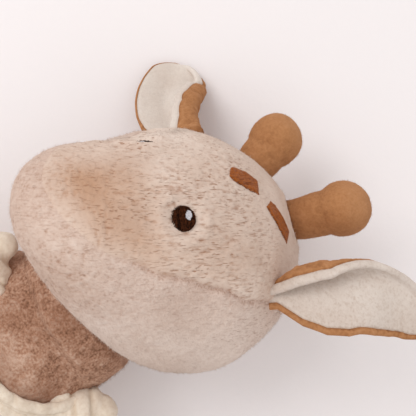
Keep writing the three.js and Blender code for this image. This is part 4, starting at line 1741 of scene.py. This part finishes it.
@dataclass
class Romper:
    """A sleeveless cotton romper with a bound neckline and a tie on each shoulder."""

    hull: Hull
    out: float = 2.1
    cloth_mm: float = 1.1
    thickness: float = 1.0
    neck_half: float = 34.0
    neck_top: float = 52.3
    neck_depth: float = 25.0
    back_depth: float = 8.0
    armhole: float = 15.7
    leg_hole: float = 15.4
    tail_hole: float = 6.6
    shoulder_top: float = 51.0
    neck_roll: float = 2.9
    arm_roll: float = 1.9
    neck_inset: float = 1.4
    arm_outset: float = 0.3
    knot_mm: float = 0.55
    end_length: float = 24.0
    end_half: float = 4.2
    end_thickness: float = 1.3
    end_clear: float = 0.9

    CLEAR = 140.0
    TUBE_SIDES = 28
    KNOT_FEET = {Side.LEFT: (38.6, 49.2), Side.RIGHT: (-35.4, 47.4)}
    KNOT_SHARES = {Side.LEFT: 1.22, Side.RIGHT: 1.04}
    KNOT_LIFT = 3.4
    # Each bulge's place along the ends, along the loops and across, and its half sizes.
    LUMPS = (
        ((0, 0, 0), (9.0, 9.6, 8.6)),
        ((8.6, 0, 5.0), (9.4, 8.6, 7.6)),
        ((6.6, 0, -6.0), (8.8, 8.2, 7.6)),
        ((0, 9.6, 0), (7.0, 6.2, 5.4)),
        ((0, 5.0, 4.4), (6.0, 5.8, 5.4)),
    )

    def neckline(self, points: Array, widening: float = 0.0) -> Array:
        """Gives the distance outside the neckline's scoop.

        Args:
            points: World points.
            widening: Moves the line outwards.

        Returns:
            Millimetres, above 0 on the cloth.
        """
        front = step(points[:, 2], 34, 46)
        depth = self.back_depth + (self.neck_depth - self.back_depth) * front + widening
        half = self.neck_half + widening
        low = np.minimum(points[:, 1] - self.neck_top, 0)
        ellipse = np.sqrt((points[:, 0] / half) ** 2 + (low / depth) ** 2)
        return (ellipse - 1) * np.minimum(half, depth)

    def openings(self, points: Array) -> Array:
        """Gives the distance to the nearest opening.

        Args:
            points: World points.

        Returns:
            Millimetres, above 0 on the cloth.
        """
        distances = [self.neckline(points), self.shoulder_top - points[:, 1]]
        for side in Side:
            arm = joint_place(f"{side.word}_arm_swing")
            leg = joint_place(f"{side.word}_leg_swing")
            same = points[:, 0] * side.value > 0
            hole = np.hypot(points[:, 1] - arm[1], points[:, 2] - arm[2]) - self.armhole
            distances.append(np.where(same & (np.abs(points[:, 0]) > 30), hole, 50))
            distances.append(np.linalg.norm(points - leg, axis=1) - self.leg_hole)
        tail = joint_place("tail_swing")
        distances.append(np.linalg.norm(points - tail, axis=1) - self.tail_hole)
        return np.minimum.reduce(distances)

    def build(self, wardrobe: Wardrobe) -> None:
        """Makes the romper's body, bindings and ties.

        Args:
            wardrobe: Dresses the pieces.
        """
        skin = self.hull.skin(self.cloth_mm, self.out)
        points = skin.points
        along = np.array([0, 1.0, 0])
        neck = np.maximum(self.neckline(points), 0)
        legs = [np.linalg.norm(points - joint_place(f"{s.word}_leg_swing"), axis=1) for s in Side]
        hips = np.minimum(*legs) - self.leg_hole
        angle = np.arctan2(points[:, 1] - self.neck_top, points[:, 0])
        gathers = np.sin(angle * 26 + 2.2 * grain(points, 9, 80))
        seat = [np.arctan2(points[:, 2] - 34, points[:, 0] - s.value * 18.9) for s in Side]
        pleats = np.where(points[:, 0] > 0, np.sin(seat[0] * 13), np.sin(seat[1] * 13))
        folds = grain(points, 13, 81, along, 2.6)
        creases = 1 - np.abs(grain(points, 17, 82, along, 1.8))
        skin.push(
            0.75 * folds
            + 0.55 * creases**3
            + 0.42 * gathers * bump(neck - 2, 9)
            + 0.5 * pleats * bump(hips - 2, 8)
            + 0.2 * grain(points, 4, 83)
        )
        skin.points = settled(skin.points, floor=0.2)
        # Painted shade in the fold troughs and along the neckline and leg openings.
        skin.values["pile"] = np.clip(
            0.84 + 0.07 * folds - 0.12 * bump(neck, 2.5) - 0.12 * bump(hips, 3), 0, 1
        )
        cloth = shell(skin.trimmed(self.openings), self.thickness)
        piece = wardrobe.piece("romper_cloth", cloth, "cream_cotton", "torso", ["romper_body"])
        ground = skin.tree()
        self.bind(wardrobe, ground)
        for side in Side:
            self.tie(wardrobe, side, ground)

    def roll(self, path: Array, outward: Array, radius: float, seed: int) -> Skin:
        """Gives a soft rolled binding along a path.

        Args:
            path: Its middle, point by point.
            outward: The way out of the body at each point.
            radius: Half of its width.
            seed: Picks the creases.

        Returns:
            The binding as a closed tube.
        """
        steps = np.cumsum(np.r_[0, np.linalg.norm(np.diff(path, axis=0), axis=1)])
        count = int(steps[-1] / 0.5)
        even = np.linspace(0, steps[-1], count)
        path, outward = (
            np.stack([np.interp(even, steps, each[:, i]) for i in range(3)], axis=1)
            for each in (path, outward)
        )
        along = units(np.gradient(path, axis=0))
        outward = units(outward - (outward * along).sum(1, keepdims=True) * along)
        across = np.cross(along, outward)
        sides = self.TUBE_SIDES
        angles = np.linspace(0, 2 * math.pi, sides, endpoint=False)
        rows = (
            path[:, None]
            + radius * np.cos(angles)[None, :, None] * across[:, None]
            + radius * 0.62 * np.sin(angles)[None, :, None] * outward[:, None]
        )
        tube = rings(rows)
        caps = []
        for row in (0, count - 1):
            first = row * sides
            caps += [[first, first + i, first + i + 1, first + i + 1] for i in range(1, sides - 1)]
        tube.faces = np.concatenate([tube.faces, np.array(caps)])
        twist = grain(tube.points, 3.2, seed, layers=2)
        sewn = np.sin(np.repeat(even, sides) * 2 * math.pi / 2.4)
        edge = np.tile(bump((np.cos(angles) - 0.62) * radius, 0.4), count)
        height = 0.22 * twist - edge * (0.28 + 0.14 * sewn)
        tube.points = tube.points + np.repeat(outward, sides, axis=0) * height[:, None]
        # Painted shade along the roll's pressed-in edges.
        tube.values["pile"] = np.clip(0.85 + 0.15 * twist - 0.4 * edge, 0, 1)
        return tube

    def edging(self, ground: BVHTree, starts: Array, way: Triple, radius: float, seed: int) -> Skin:
        """Gives a binding that follows the cloth under or beside a line of places.

        Args:
            ground: The romper's cloth.
            starts: Places off the cloth, in order along the binding.
            way: The way from there to the cloth.
            radius: Half of the binding's width.
            seed: Picks its creases.

        Returns:
            The binding as a closed tube.
        """
        hits = [ground.ray_cast(Vector(start), Vector(way))[:2] for start in starts]
        found = [(np.array(hit), np.array(normal)) for hit, normal in hits if hit is not None]
        path, ways = (np.array(each) for each in zip(*found))
        return self.roll(path, ways, radius, seed)

    def bind(self, wardrobe: Wardrobe, ground: BVHTree) -> None:
        """Sews the rolled binding into the neckline and rolls the armholes' edges.

        Args:
            wardrobe: Dresses the pieces.
            ground: The romper's cloth.
        """
        width, depth = self.neck_half - self.neck_inset, self.neck_depth - self.neck_inset
        starts = [
            (width * math.cos(angle), self.neck_top + depth * math.sin(angle), self.CLEAR)
            for angle in np.linspace(math.radians(-178), math.radians(-2), 90)
        ]
        roll = self.edging(ground, starts, (0, 0, -1), self.neck_roll, 85)
        wardrobe.piece("neckline_roll", roll, "cream_cotton", "torso", ["neckline_binding"])
        for side in Side:
            arm = joint_place(f"{side.word}_arm_swing")
            radius = self.armhole + self.arm_outset
            starts = [
                (side.value * 150, arm[1] + radius * math.cos(a), arm[2] + radius * math.sin(a))
                for a in np.linspace(0, 2 * math.pi, 80)
            ]
            way = (-side.value, 0, 0)
            roll = self.edging(ground, starts, way, self.arm_roll, 86 + side.value)
            wardrobe.piece(f"{side.word}_armhole_roll", roll, "cream_cotton", "torso")

    def tie(self, wardrobe: Wardrobe, side: Side, ground: BVHTree) -> None:
        """Ties the knot on a shoulder and lays its ends on the romper.

        Args:
            wardrobe: Dresses the pieces.
            side: Which shoulder.
            ground: The romper's cloth, which the knot lies on.
        """
        foot = np.array([*self.KNOT_FEET[side], 0.0])
        foot[2] = self.above(ground, foot) + self.KNOT_LIFT
        tail_way = unit((-0.42 * side.value, -0.9, 0.25))
        loop_way = unit((0.45 * side.value, 0.85, -0.3))
        spot = KnotSpot(side, foot, tail_way, loop_way, unit(np.cross(tail_way, (0, 0, 1))))
        wardrobe.piece(
            f"{side.word}_shoulder_knot", self.knot(spot), "cream_cotton", "torso",
            [f"{side.word}_shoulder_tie"],
        )
        tails = self.tie_ends(spot, ground)
        piece = wardrobe.piece(f"{side.word}_tie_ends", tails, "cream_cotton", "torso")

    def knot(self, spot: KnotSpot) -> Skin:
        """Gives the knot, its bulges gathered and pressed in by two turns of cloth.

        Args:
            spot: Where it lies.

        Returns:
            A closed skin.
        """
        ways = np.stack([spot.tail_way, spot.across, np.cross(spot.tail_way, spot.across)])
        parts = []
        for number, ((tail, loop, over), radii) in enumerate(self.LUMPS, start=1):
            part = ball(5)
            way = part.points
            centre = spot.foot + spot.tail_way * tail + spot.loop_way * loop + spot.across * over
            pinch = 1 - 0.22 * bump(way[:, 0] + 0.95, 0.5)
            size = self.KNOT_SHARES[spot.side] * np.array(radii)
            part.points = centre + (way * size * pinch[:, None]) @ ways
            folds = np.sin(np.arctan2(way[:, 2], way[:, 1]) * 6 + number)
            parts.append(part.push(0.22 * folds * (1 - way[:, 0] ** 2)))
        skin = voxel_skin(parts, self.knot_mm).smooth(14)
        points = skin.points
        ring = (points - spot.foot) @ spot.tail_way
        front, back = 3.4, 4.6
        skin.push(-1.1 * bump(ring - front, 1.0) - 0.9 * bump(ring + back, 1.1))
        skin.push(0.3 * grain(points, 5.5, 90 + spot.side.value, spot.tail_way, 2.2))
        # Painted shade in the creases where the two turns press in.
        skin.values["pile"] = np.clip(
            0.9 - 0.5 * bump(ring - front, 1.2) - 0.4 * bump(ring + back, 1.3), 0, 1
        )
        return skin

    def tie_ends(self, spot: KnotSpot, ground: BVHTree) -> Skin:
        """Gives the knot's two short ends.

        Args:
            spot: Where the knot lies.
            ground: The romper's cloth, which the ends lie on.

        Returns:
            The ends as two closed sheets.
        """
        strips = []
        for number, spread in enumerate((-0.28, 0.3)):
            way = unit(spot.tail_way + spot.across * spread)
            flat = unit(np.cross(way, (0, 0, 1)))
            lift = np.cross(flat, way)
            length = np.linspace(2, self.end_length - 5 * number, 40)
            width = np.linspace(-1, 1, 15)
            sag = 2.2 - 0.012 * length**2 + 0.5 * np.sin(length / 2.6 + number)
            half = self.end_half * (0.62 + 0.38 * step(length, 0, 9))
            rows = (
                spot.foot
                + np.outer(length, way)[:, None]
                + (half[:, None] * width)[..., None] * flat
                + (sag[:, None] + 0.7 * np.cos(width * 4 + number)[None])[..., None] * lift
            )
            sheet = rings(rows, closed=False)
            bed = np.array([self.above(ground, each) for each in sheet.points])
            sheet.points[:, 2] = np.maximum(sheet.points[:, 2], bed + self.end_clear)
            if sheet.normals()[:, 2].mean() < 0:
                sheet.faces = sheet.faces[:, ::-1]
            strips.append(shell(sheet, self.end_thickness))
        tails = both(strips)
        tails.values["pile"] = np.full(len(tails.points), 0.85)
        return tails

    def above(self, ground: BVHTree, point: Array) -> float:
        """Gives the height of the cloth under a point."""
        hit = ground.ray_cast(Vector((point[0], point[1], self.CLEAR)), Vector((0, 0, -1)))[0]
        return hit[2] if hit is not None else -1.0


@dataclass
class Limb:
    """A stuffed arm or leg with its hoof, which swings at a round top."""

    side: Side
    part: str
    hoof: str
    top: float
    waist: float
    radius: float
    length: float
    spread: float
    bare_from: float
    hoof_share: float = 0.26
    pile_mm: float = 0.9

    def __post_init__(self) -> None:
        """Works out where the limb lies."""
        pivot = joint_place(f"{self.side.word}_{self.part}_swing")
        droop = math.asin((pivot[2] - self.radius * 1.12 + 0.5) / (self.length * 0.9))
        turn = Matrix.Rotation(self.side.value * self.spread, 4, "Z")
        self.matrix = Matrix.Translation(pivot) @ turn @ Matrix.Rotation(droop, 4, "X")
        self.body = f"{self.side.word}_{self.part}"

    def radius_at(self, down: Array) -> Array:
        """Gives the limb's radius by the distance below its pivot."""
        ease = step(down, 0, 0.5 * self.length)
        return self.waist + (self.radius - self.waist) * ease

    def tube(self, top: float, bottom: float, cap: float) -> Skin:
        """Gives a stretch of the limb with a rounded lower end.

        Args:
            top: The distance below the pivot where it starts; below 0 for the round top.
            bottom: Where it ends.
            cap: The height of the rounding at its end.

        Returns:
            A closed skin in the limb's own frame.
        """
        if top < 0:
            profile = cap_profile(self.top, np.linspace(0, math.radians(104), 24))
            start = -profile[-1][1] + 1.5
        else:
            profile, start = [(0, -top)], top
        stretch = np.linspace(start, bottom - cap, 30)
        profile += list(zip(self.radius_at(stretch), -stretch))
        for a in np.linspace(0, math.pi / 2, 14)[1:]:
            radius = self.radius * (1 - cap / self.radius * (1 - math.cos(a)))
            profile.append((radius, -(bottom - cap) - cap * math.sin(a)))
        profile.append((0, -bottom))
        return revolved(profile, sides=72)

    def build(self, wardrobe: Wardrobe) -> None:
        """Makes the limb and its hoof, each with its fibres.

        Args:
            wardrobe: Dresses the pieces.
        """
        sole = self.length * (1 - self.hoof_share)
        limb = voxel_skin([self.tube(-1, sole + 2, 1.5)], self.pile_mm).smooth(3)
        local = limb.points
        seed = 100 + 7 * self.side.value + int(self.length)
        seam = bump(np.arctan2(local[:, 0] * self.side.value, local[:, 2]) + 2.0, 0.11)
        fuzz = grain(local, 1.5, seed, layers=2)
        limb.push(0.8 * grain(local, 14, seed + 1) + 0.16 * fuzz - 0.9 * seam)
        limb.push(-1.3 * bump(local[:, 1] + sole, 1.6))
        # Painted shade in the seam's groove.
        limb.values["pile"] = np.clip(0.56 + 0.12 * fuzz - 0.25 * seam, 0, 1)
        limb.values["brush"] = np.full(len(local), 0.35)
        limb.values["lie"] = local[:, [1, 0, 2]]
        bare = step(-local[:, 1], self.bare_from, self.bare_from + 3)
        shown = bare * (1 - step(-local[:, 1], sole - 2, sole))
        limb = limb.laid(self.matrix)
        wardrobe.piece(f"{self.body}_plush", limb, "limb_plush", self.body, [self.body], fill=0.7)
        cap = self.tube(sole - 1.0, self.length, self.radius * 0.62)
        hoof = voxel_skin([cap], self.pile_mm).smooth(3)
        local = hoof.points
        swell = step(-local[:, 1], sole - 1, sole + 0.3 * self.hoof_share * self.length)
        fuzz = grain(local, 1.4, seed + 2, layers=2)
        hoof.push(0.12 * self.radius * swell + 0.5 * grain(local, 12, seed + 3) + 0.12 * fuzz)
        hoof.values["pile"] = np.clip(0.5 + 0.08 * fuzz, 0, 1)
        hoof.values["tone"] = 0.25 * (1 - swell)
        hoof = hoof.laid(self.matrix)
        wardrobe.piece(
            f"{self.side.word}_{self.hoof}_plush", hoof, "tan_plush", self.body,
            [f"{self.side.word}_{self.hoof}"], fill=0.8,
        )
        for name, part, slot, share in (
            (f"{self.body}_fuzz", limb, "limb_plush", shown),
            (f"{self.side.word}_{self.hoof}_fuzz", hoof, "tan_plush", 1.0),
        ):
            fibres = Fuzz(per_mm2=0.5, length_mm=1.1, stray=0.5, level=0.62)
            fuzz = fibres.grown(part, seed + 4, share)
            fuzz.points[:, 2] = np.maximum(fuzz.points[:, 2], 0.1)
            wardrobe.piece(name, fuzz, slot, self.body)


@dataclass
class TrouserLeg:
    """A short cotton trouser leg that swings with the leg in it."""

    limb: Limb
    out: float = 1.1
    fall: float = 34.0
    flare: float = 4.0
    hem: float = 6.4
    stitched: float = 5.2
    thickness: float = 0.9
    sides: int = 150

    def build(self, wardrobe: Wardrobe) -> None:
        """Makes the trouser leg.

        Args:
            wardrobe: Dresses the piece.
        """
        limb = self.limb
        side = limb.side
        angles = np.linspace(0, 2 * math.pi, self.sides, endpoint=False)
        arc = np.linspace(math.radians(34), math.radians(104), 26)
        round_top = limb.top + self.out
        profile = [(round_top * math.sin(a), -round_top * math.cos(a)) for a in arc]
        last = profile[-1]
        hem = limb.waist + 0.6 * (limb.radius - limb.waist) + self.flare
        for share in np.linspace(0, 1, 46)[1:]:
            radius = last[0] + (hem - last[0]) * share**0.8
            profile.append((radius, last[1] + (self.fall - last[1]) * share))
        profile = np.array(profile)
        down = profile[:, 1:2]
        open_share = step(down, 2, self.fall)
        gather = 1 - open_share
        phase = side.value * 0.7
        wave = (
            0.85 * open_share * np.sin(5 * angles + phase + down / 14)
            + 0.5 * open_share * np.sin(9 * angles + 2 * phase)
            + 0.32 * gather * np.sin(22 * angles + 1.4 * np.sin(3 * angles))
        )
        fold = step(down, self.fall - self.hem, self.fall - self.hem + 0.5)
        sewn = 0.22 + 0.16 * np.sin(angles * 44)
        stitch = bump(down - (self.fall - self.stitched), 0.45) * sewn
        radius = profile[:, :1] + wave + 0.45 * fold - stitch
        rows = np.stack(
            [radius * np.cos(angles), -down + 0 * radius, radius * np.sin(angles)], axis=-1
        )
        tube = rings(rows)
        middle = tube.points * np.array([1, 0, 1])
        if (tube.normals() * middle).sum() < 0:
            tube.faces = tube.faces[:, ::-1]
        tube.push(0.25 * grain(tube.points, 5, 120 + side.value))
        # Painted shade in the fold troughs and the stitching line.
        tube.values["pile"] = np.clip((0.8 + 0.16 * wave - 0.8 * stitch).reshape(-1), 0, 1)
        cloth = shell(tube, self.thickness).laid(limb.matrix)
        piece = wardrobe.piece(
            f"{side.word}_trouser_cloth", cloth, "cream_cotton", limb.body,
            [f"{side.word}_trouser_leg"],
        )


@dataclass
class Tail:
    """A thin stuffed cord with a tuft of fibres."""

    radius: float = 3.4
    length: float = 46.0
    tuft_radius: float = 7.0
    tuft_length: float = 24.0
    hairs: int = 1500
    pile_mm: float = 0.6

    def build(self, wardrobe: Wardrobe) -> None:
        """Makes the cord and the tuft.

        Args:
            wardrobe: Dresses the pieces.
        """
        pivot = joint_place("tail_swing")
        droop = math.asin(
            (pivot[2] - self.tuft_radius + 0.5) / (self.length + self.tuft_length / 2)
        )
        matrix = Matrix.Translation(pivot) @ Matrix.Rotation(droop, 4, "X")
        profile = cap_profile(self.radius, np.linspace(0, math.pi / 2, 12))
        profile += [(self.radius, -y) for y in np.linspace(1, self.length + 3, 30)]
        profile.append((0, -self.length - 3))
        cord = voxel_skin([revolved(profile, sides=40)], self.pile_mm).smooth(2)
        local = cord.points
        fuzz = grain(local, 1.3, 131, layers=2)
        seam = bump(np.arctan2(local[:, 0], local[:, 2]) - 2.6, 0.22)
        cord.push(0.25 * grain(local, 6, 132) + 0.2 * fuzz - 0.4 * seam)
        # Painted shade in the seam's groove.
        cord.values["pile"] = np.clip(0.5 + 0.3 * fuzz - 0.2 * seam, 0, 1)
        cord, tuft = (each.laid(matrix, soft=1.0) for each in (cord, self.tuft()))
        wardrobe.piece("tail_plush", cord, "chest_plush", "tail", ["tail"], fill=0.6)
        wardrobe.piece("tail_tuft_fibres", tuft, "tuft_plush", "tail", ["tail_tuft"])

    def tuft(self) -> Skin:
        """Gives the tuft, fibre by fibre.

        Returns:
            All fibres in the tail's own frame.
        """
        chance = np.random.default_rng(133)
        count = self.hairs
        angle = chance.uniform(0, 2 * math.pi, count)
        depth = np.sqrt(chance.uniform(0, 1, count))
        length = self.tuft_length * chance.uniform(0.78, 1.0, count) * (1 - 0.18 * depth)
        steps = np.linspace(0, 1, 7)
        bulge = np.sin(np.pi * np.clip(steps * 0.86 + 0.06, 0, 1)) ** 0.8
        reach = 1.6 + (self.tuft_radius - 1.8) * bulge
        sway = chance.normal(0, 0.5, (count, 2))
        x = np.outer(depth * np.cos(angle), reach) + np.outer(sway[:, 0], steps)
        z = np.outer(depth * np.sin(angle), reach) + np.outer(sway[:, 1], steps)
        y = -self.length + 1 - np.outer(length, steps)
        middle = np.stack([x, y, z], axis=-1)
        around = np.stack([-np.sin(angle), 0 * angle, np.cos(angle)], axis=1)
        outward = np.stack([np.cos(angle), 0 * angle, np.sin(angle)], axis=1)
        half = (0.3 * (1 - steps**2) + 0.05)[None, :, None]
        rows = np.stack(
            [
                middle + half * around[:, None],
                middle - half * around[:, None],
                middle - half * outward[:, None] * 1.2,
            ],
            axis=2,
        )
        strands = []
        level = chance.uniform(0.25, 0.9, count)
        for i in range(count):
            strand = rings(rows[i])
            # Each fibre gets its own tone, with painted shade towards its root.
            strand.values["pile"] = np.full(21, level[i]) - np.repeat(0.2 * (1 - steps), 3)
            strands.append(strand)
        return both(strands)


@dataclass
class Studio:
    """A pale cloth floor, soft light and the camera straight above."""

    camera_mm: Triple = (-12.89, 138.61, 397.4)
    camera_turn: float = math.radians(61.9)
    lens: float = 69.23
    sensor: float = 36.0
    sky: tuple[float, float, float, float] = (1, 0.99, 0.985, 1)
    sky_strength: float = 0.76
    aim: Triple = (0, 0.05, 0.03)
    floor_mm: float = -0.6
    floor_reach: float = 9000.0

    # Each lamp's name, place in metres, size in metres and power in watts.
    LAMPS = (
        ("window", (-0.75, -0.1, 1.05), 0.7, 6.5),
        ("fill", (0.5, 0.1, 1.2), 1.2, 2.0),
    )

    def build(self) -> None:
        """Sets the stage."""
        lens = bpy.data.cameras.new("camera")
        lens.lens, lens.sensor_width = self.lens, self.sensor
        lens.clip_start, lens.clip_end = 0.01, 20
        camera = bpy.data.objects.new("camera", lens)
        camera.location = Vector(self.camera_mm) * MM
        camera.rotation_euler = (0, 0, self.camera_turn)
        bpy.context.scene.collection.objects.link(camera)
        bpy.context.scene.camera = camera
        world = bpy.data.worlds.new("studio")
        world.use_nodes = True
        sky = world.node_tree.nodes["Background"].inputs
        sky["Color"].default_value = self.sky
        sky["Strength"].default_value = self.sky_strength
        bpy.context.scene.world = world
        bpy.context.scene.view_settings.view_transform = "Standard"
        for lamp in self.LAMPS:
            self.light(*lamp)
        self.floor()

    def light(self, name: str, place: Triple, size: float, power: float) -> None:
        """Adds a soft square lamp that looks at the toy's chest.

        Args:
            name: The lamp's name.
            place: Where it hangs, in metres.
            size: Its width in metres.
            power: Its power in watts.
        """
        lamp = bpy.data.lights.new(name, "AREA")
        lamp.size, lamp.energy = size, power
        shape = bpy.data.objects.new(name, lamp)
        shape.location = place
        aim = Vector(self.aim) - Vector(place)
        shape.rotation_euler = aim.to_track_quat("-Z", "Y").to_euler()
        bpy.context.scene.collection.objects.link(shape)

    def floor(self) -> None:
        """Lays the pale cloth under the toy."""
        steps = np.linspace(-self.floor_reach, self.floor_reach, 61)
        x, y = np.meshgrid(steps, steps, indexing="ij")
        grid = np.stack([x, y, np.full_like(x, self.floor_mm)], axis=-1)
        mesh = bpy.data.meshes.new("floor")
        sheet = rings(grid, closed=False)
        mesh.from_pydata((sheet.points * MM).tolist(), [], sheet.rows())
        graph = Graph("floor cloth")
        weave = graph.noise(2.2, 3.0)
        pale = linear((238, 232, 232))
        mesh.materials.append(
            graph.finish(weave, 0.1, Base_Color=pale, Roughness=0.9, Specular_IOR_Level=0.2)
        )
        shape = bpy.data.objects.new("floor", mesh)
        bpy.context.scene.collection.objects.link(shape)


MUZZLEWARD = np.array([0, 0, 1.0])
MARK = np.array(
    [(-0.5, -0.36), (-0.3, -0.5), (0, -0.5), (0.5, -0.4), (0.46, 0.42), (0.1, 0.5),
     (-0.26, 0.46), (-0.44, 0.3)]
)


def oval(half_width: float, half_height: float, x: float = 0.0, y: float = 0.0) -> Array:
    """Gives an oval's outline.

    Args:
        half_width: Half of its width.
        half_height: Half of its height.
        x: Its middle's place across.
        y: Its middle's place along.

    Returns:
        Its corners in order.
    """
    angles = np.linspace(0, 2 * math.pi, 48, endpoint=False)
    return np.stack([x + half_width * np.cos(angles), y + half_height * np.sin(angles)], axis=1)


@dataclass
class Head:
    """The head with its ossicones, ears and embroidery."""

    place: HeadFrame = field(default_factory=HeadFrame)

    EYE_RADIUS = 4.8
    EYE_LIFTS = {Side.LEFT: 0.5, Side.RIGHT: 0.2}
    EYE_DOMES = {Side.LEFT: 0.7, Side.RIGHT: 0.3}
    GLINT_LIFTS = {Side.LEFT: 1.25, Side.RIGHT: 0.6}
    MARK_SIZE = (19.5, 7.8)
    MARK_SLANT = math.radians(24)

    def build(self, wardrobe: Wardrobe) -> None:
        """Makes every piece of the head.

        Args:
            wardrobe: Dresses the pieces.
        """
        place = self.place
        horns = [
            Ossicone(Side.LEFT, place, knob=(17.7, 42.4, -54.9), lean=(0.38, 0.85, -0.36)),
            Ossicone(Side.RIGHT, place, knob=(-24.7, 37.4, -43.7), lean=(-0.45, 0.72, -0.52)),
        ]
        tree = place.hull.skin(2.0).tree()
        feet = []
        for horn in horns:
            lean = Vector(unit(horn.lean))
            feet.append(tuple(tree.ray_cast(Vector(horn.knob), -lean)[0]))
            horn.build(wardrobe)
        skin = HeadSkin(place, horn_feet=feet).build(wardrobe)
        ground = skin.tree()
        for patch in self.patches():
            patch.build(wardrobe, place, ground)
        for ear in self.ears():
            ear.build(wardrobe)

    def patches(self) -> list[Embroidery]:
        """Lists the embroidered patches.

        Returns:
            The eyes with their glints, then the marks.
        """
        up = self.place.way_in(IMAGE_UP)
        patches = []
        for side, normal in EYE_NORMALS.items():
            z = unit(normal)
            x = unit(np.cross(MUZZLEWARD, z))
            y = np.cross(z, x)
            slant = math.atan2(up @ y, up @ x)
            patches.append(
                Embroidery(
                    f"{side.word}_eye", "brown_thread", normal, MUZZLEWARD,
                    oval(self.EYE_RADIUS, self.EYE_RADIUS), slant, lift=self.EYE_LIFTS[side],
                    dome=self.EYE_DOMES[side], stitch=3.1, seed=5 + side.value,
                )
            )
            patches.append(
                Embroidery(
                    f"{side.word}_eye_glint", "white_thread", normal, MUZZLEWARD,
                    oval(half_width=2.1, half_height=1.25, x=1.2, y=-1.8), slant,
                    lift=self.GLINT_LIFTS[side], dome=0.25, seed=9 + side.value,
                )
            )
        marks = (
            (Side.LEFT, (0.379, 0.897, -0.223), (0.51, -0.44, -0.74), 1.0),
            (Side.RIGHT, (0.158, 0.986, 0.019), (0.31, -0.09, -0.95), 0.84),
        )
        length, width = self.MARK_SIZE
        for side, normal, along, share in marks:
            patches.append(
                Embroidery(
                    f"{side.word}_forehead_mark", "rust_thread", normal,
                    np.cross(normal, along), MARK * (length * share, width), self.MARK_SLANT,
                    lift=0.1, dome=0.6, stitch=7.0, seed=15 + side.value,
                )
            )
        return patches

    def ears(self) -> list[Ear]:
        """Lists the two ears.

        Returns:
            The left ear, whose crown edge curls over, and the flatter right one.
        """
        return [
            Ear(
                Side.LEFT, self.place,
                line=(
                    (0.13, 0.23, -0.12), (0.23, 0.39, -0.26), (0.37, 0.46, -0.48),
                    (0.55, 0.45, -0.67),
                ),
                low_widths=(5, 12.5, 16.5, 17.5, 16.5, 15.5, 13.5, 10.5, 6),
                crown_widths=(11, 22, 25, 22.5, 18.5, 14, 10, 7, 5),
                headings=(
                    (-0.1, (-38, -28, -8, -12, -24, 95, 135, 150, 158)),
                    (0.3, (-32, -22, -4, -10, -34, 60, 115, 132, 140)),
                    (0.5, (-30, -16, -2, -8, -24, 8, 80, 100, 110)),
                    (0.75, (-24, -12, 0, -4, -8, 2, 30, 50, 66)),
                    (1.0, (-10, -8, 0, 0, 0, 4, 8, 10, 12)),
                ),
            ),
            Ear(
                Side.RIGHT, self.place,
                line=(
                    (-0.25, -0.08, -0.08), (-0.46, -0.08, -0.13), (-0.6, -0.01, -0.17),
                    (-0.7, 0.13, -0.19),
                ),
                low_widths=(11, 15, 17.5, 18, 17.5, 16.5, 15, 12.5, 9),
                crown_widths=(23, 28.5, 30.5, 31, 30, 28.5, 26.5, 23, 14),
                headings=(
                    (-0.1, (-34, -26, -38, 10, 60, 150, 160, 163, 165)),
                    (0.12, (-30, -24, -38, 20, 10, 44, 152, 160, 163)),
                    (0.4, (-24, -20, -34, 20, 8, 14, 125, 158, 162)),
                    (0.69, (-18, -14, -22, 12, 6, 8, 118, 156, 160)),
                    (0.85, (-12, -8, -12, 4, 4, 8, 90, 150, 158)),
                    (0.95, (-9, -6, -4, 0, 2, 6, 60, 120, 140)),
                    (1.0, (-8, -5, 0, 0, 0, 4, 40, 90, 110)),
                ),
                rim_at_tip=0.3,
            ),
        ]


def main() -> None:
    """Builds the toy piece by piece and sets the stage."""
    logging.basicConfig(level=logging.INFO, format="%(message)s")
    wardrobe = Wardrobe()
    Studio().build()
    Head().build(wardrobe)
    body = Body()
    body.build(wardrobe)
    Romper(body.hull).build(wardrobe)
    for side in Side:
        arm = Limb(
            side, "arm", "front_hoof", top=11.5, waist=10, radius=13, length=88,
            spread=math.radians(30), bare_from=8,
        )
        leg = Limb(
            side, "leg", "hind_hoof", top=14, waist=13.2, radius=17, length=122,
            spread=math.radians(7), bare_from=31,
        )
        arm.build(wardrobe)
        leg.build(wardrobe)
        TrouserLeg(leg).build(wardrobe)
    Tail().build(wardrobe)
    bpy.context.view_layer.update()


if __name__ == "__main__":
    main()
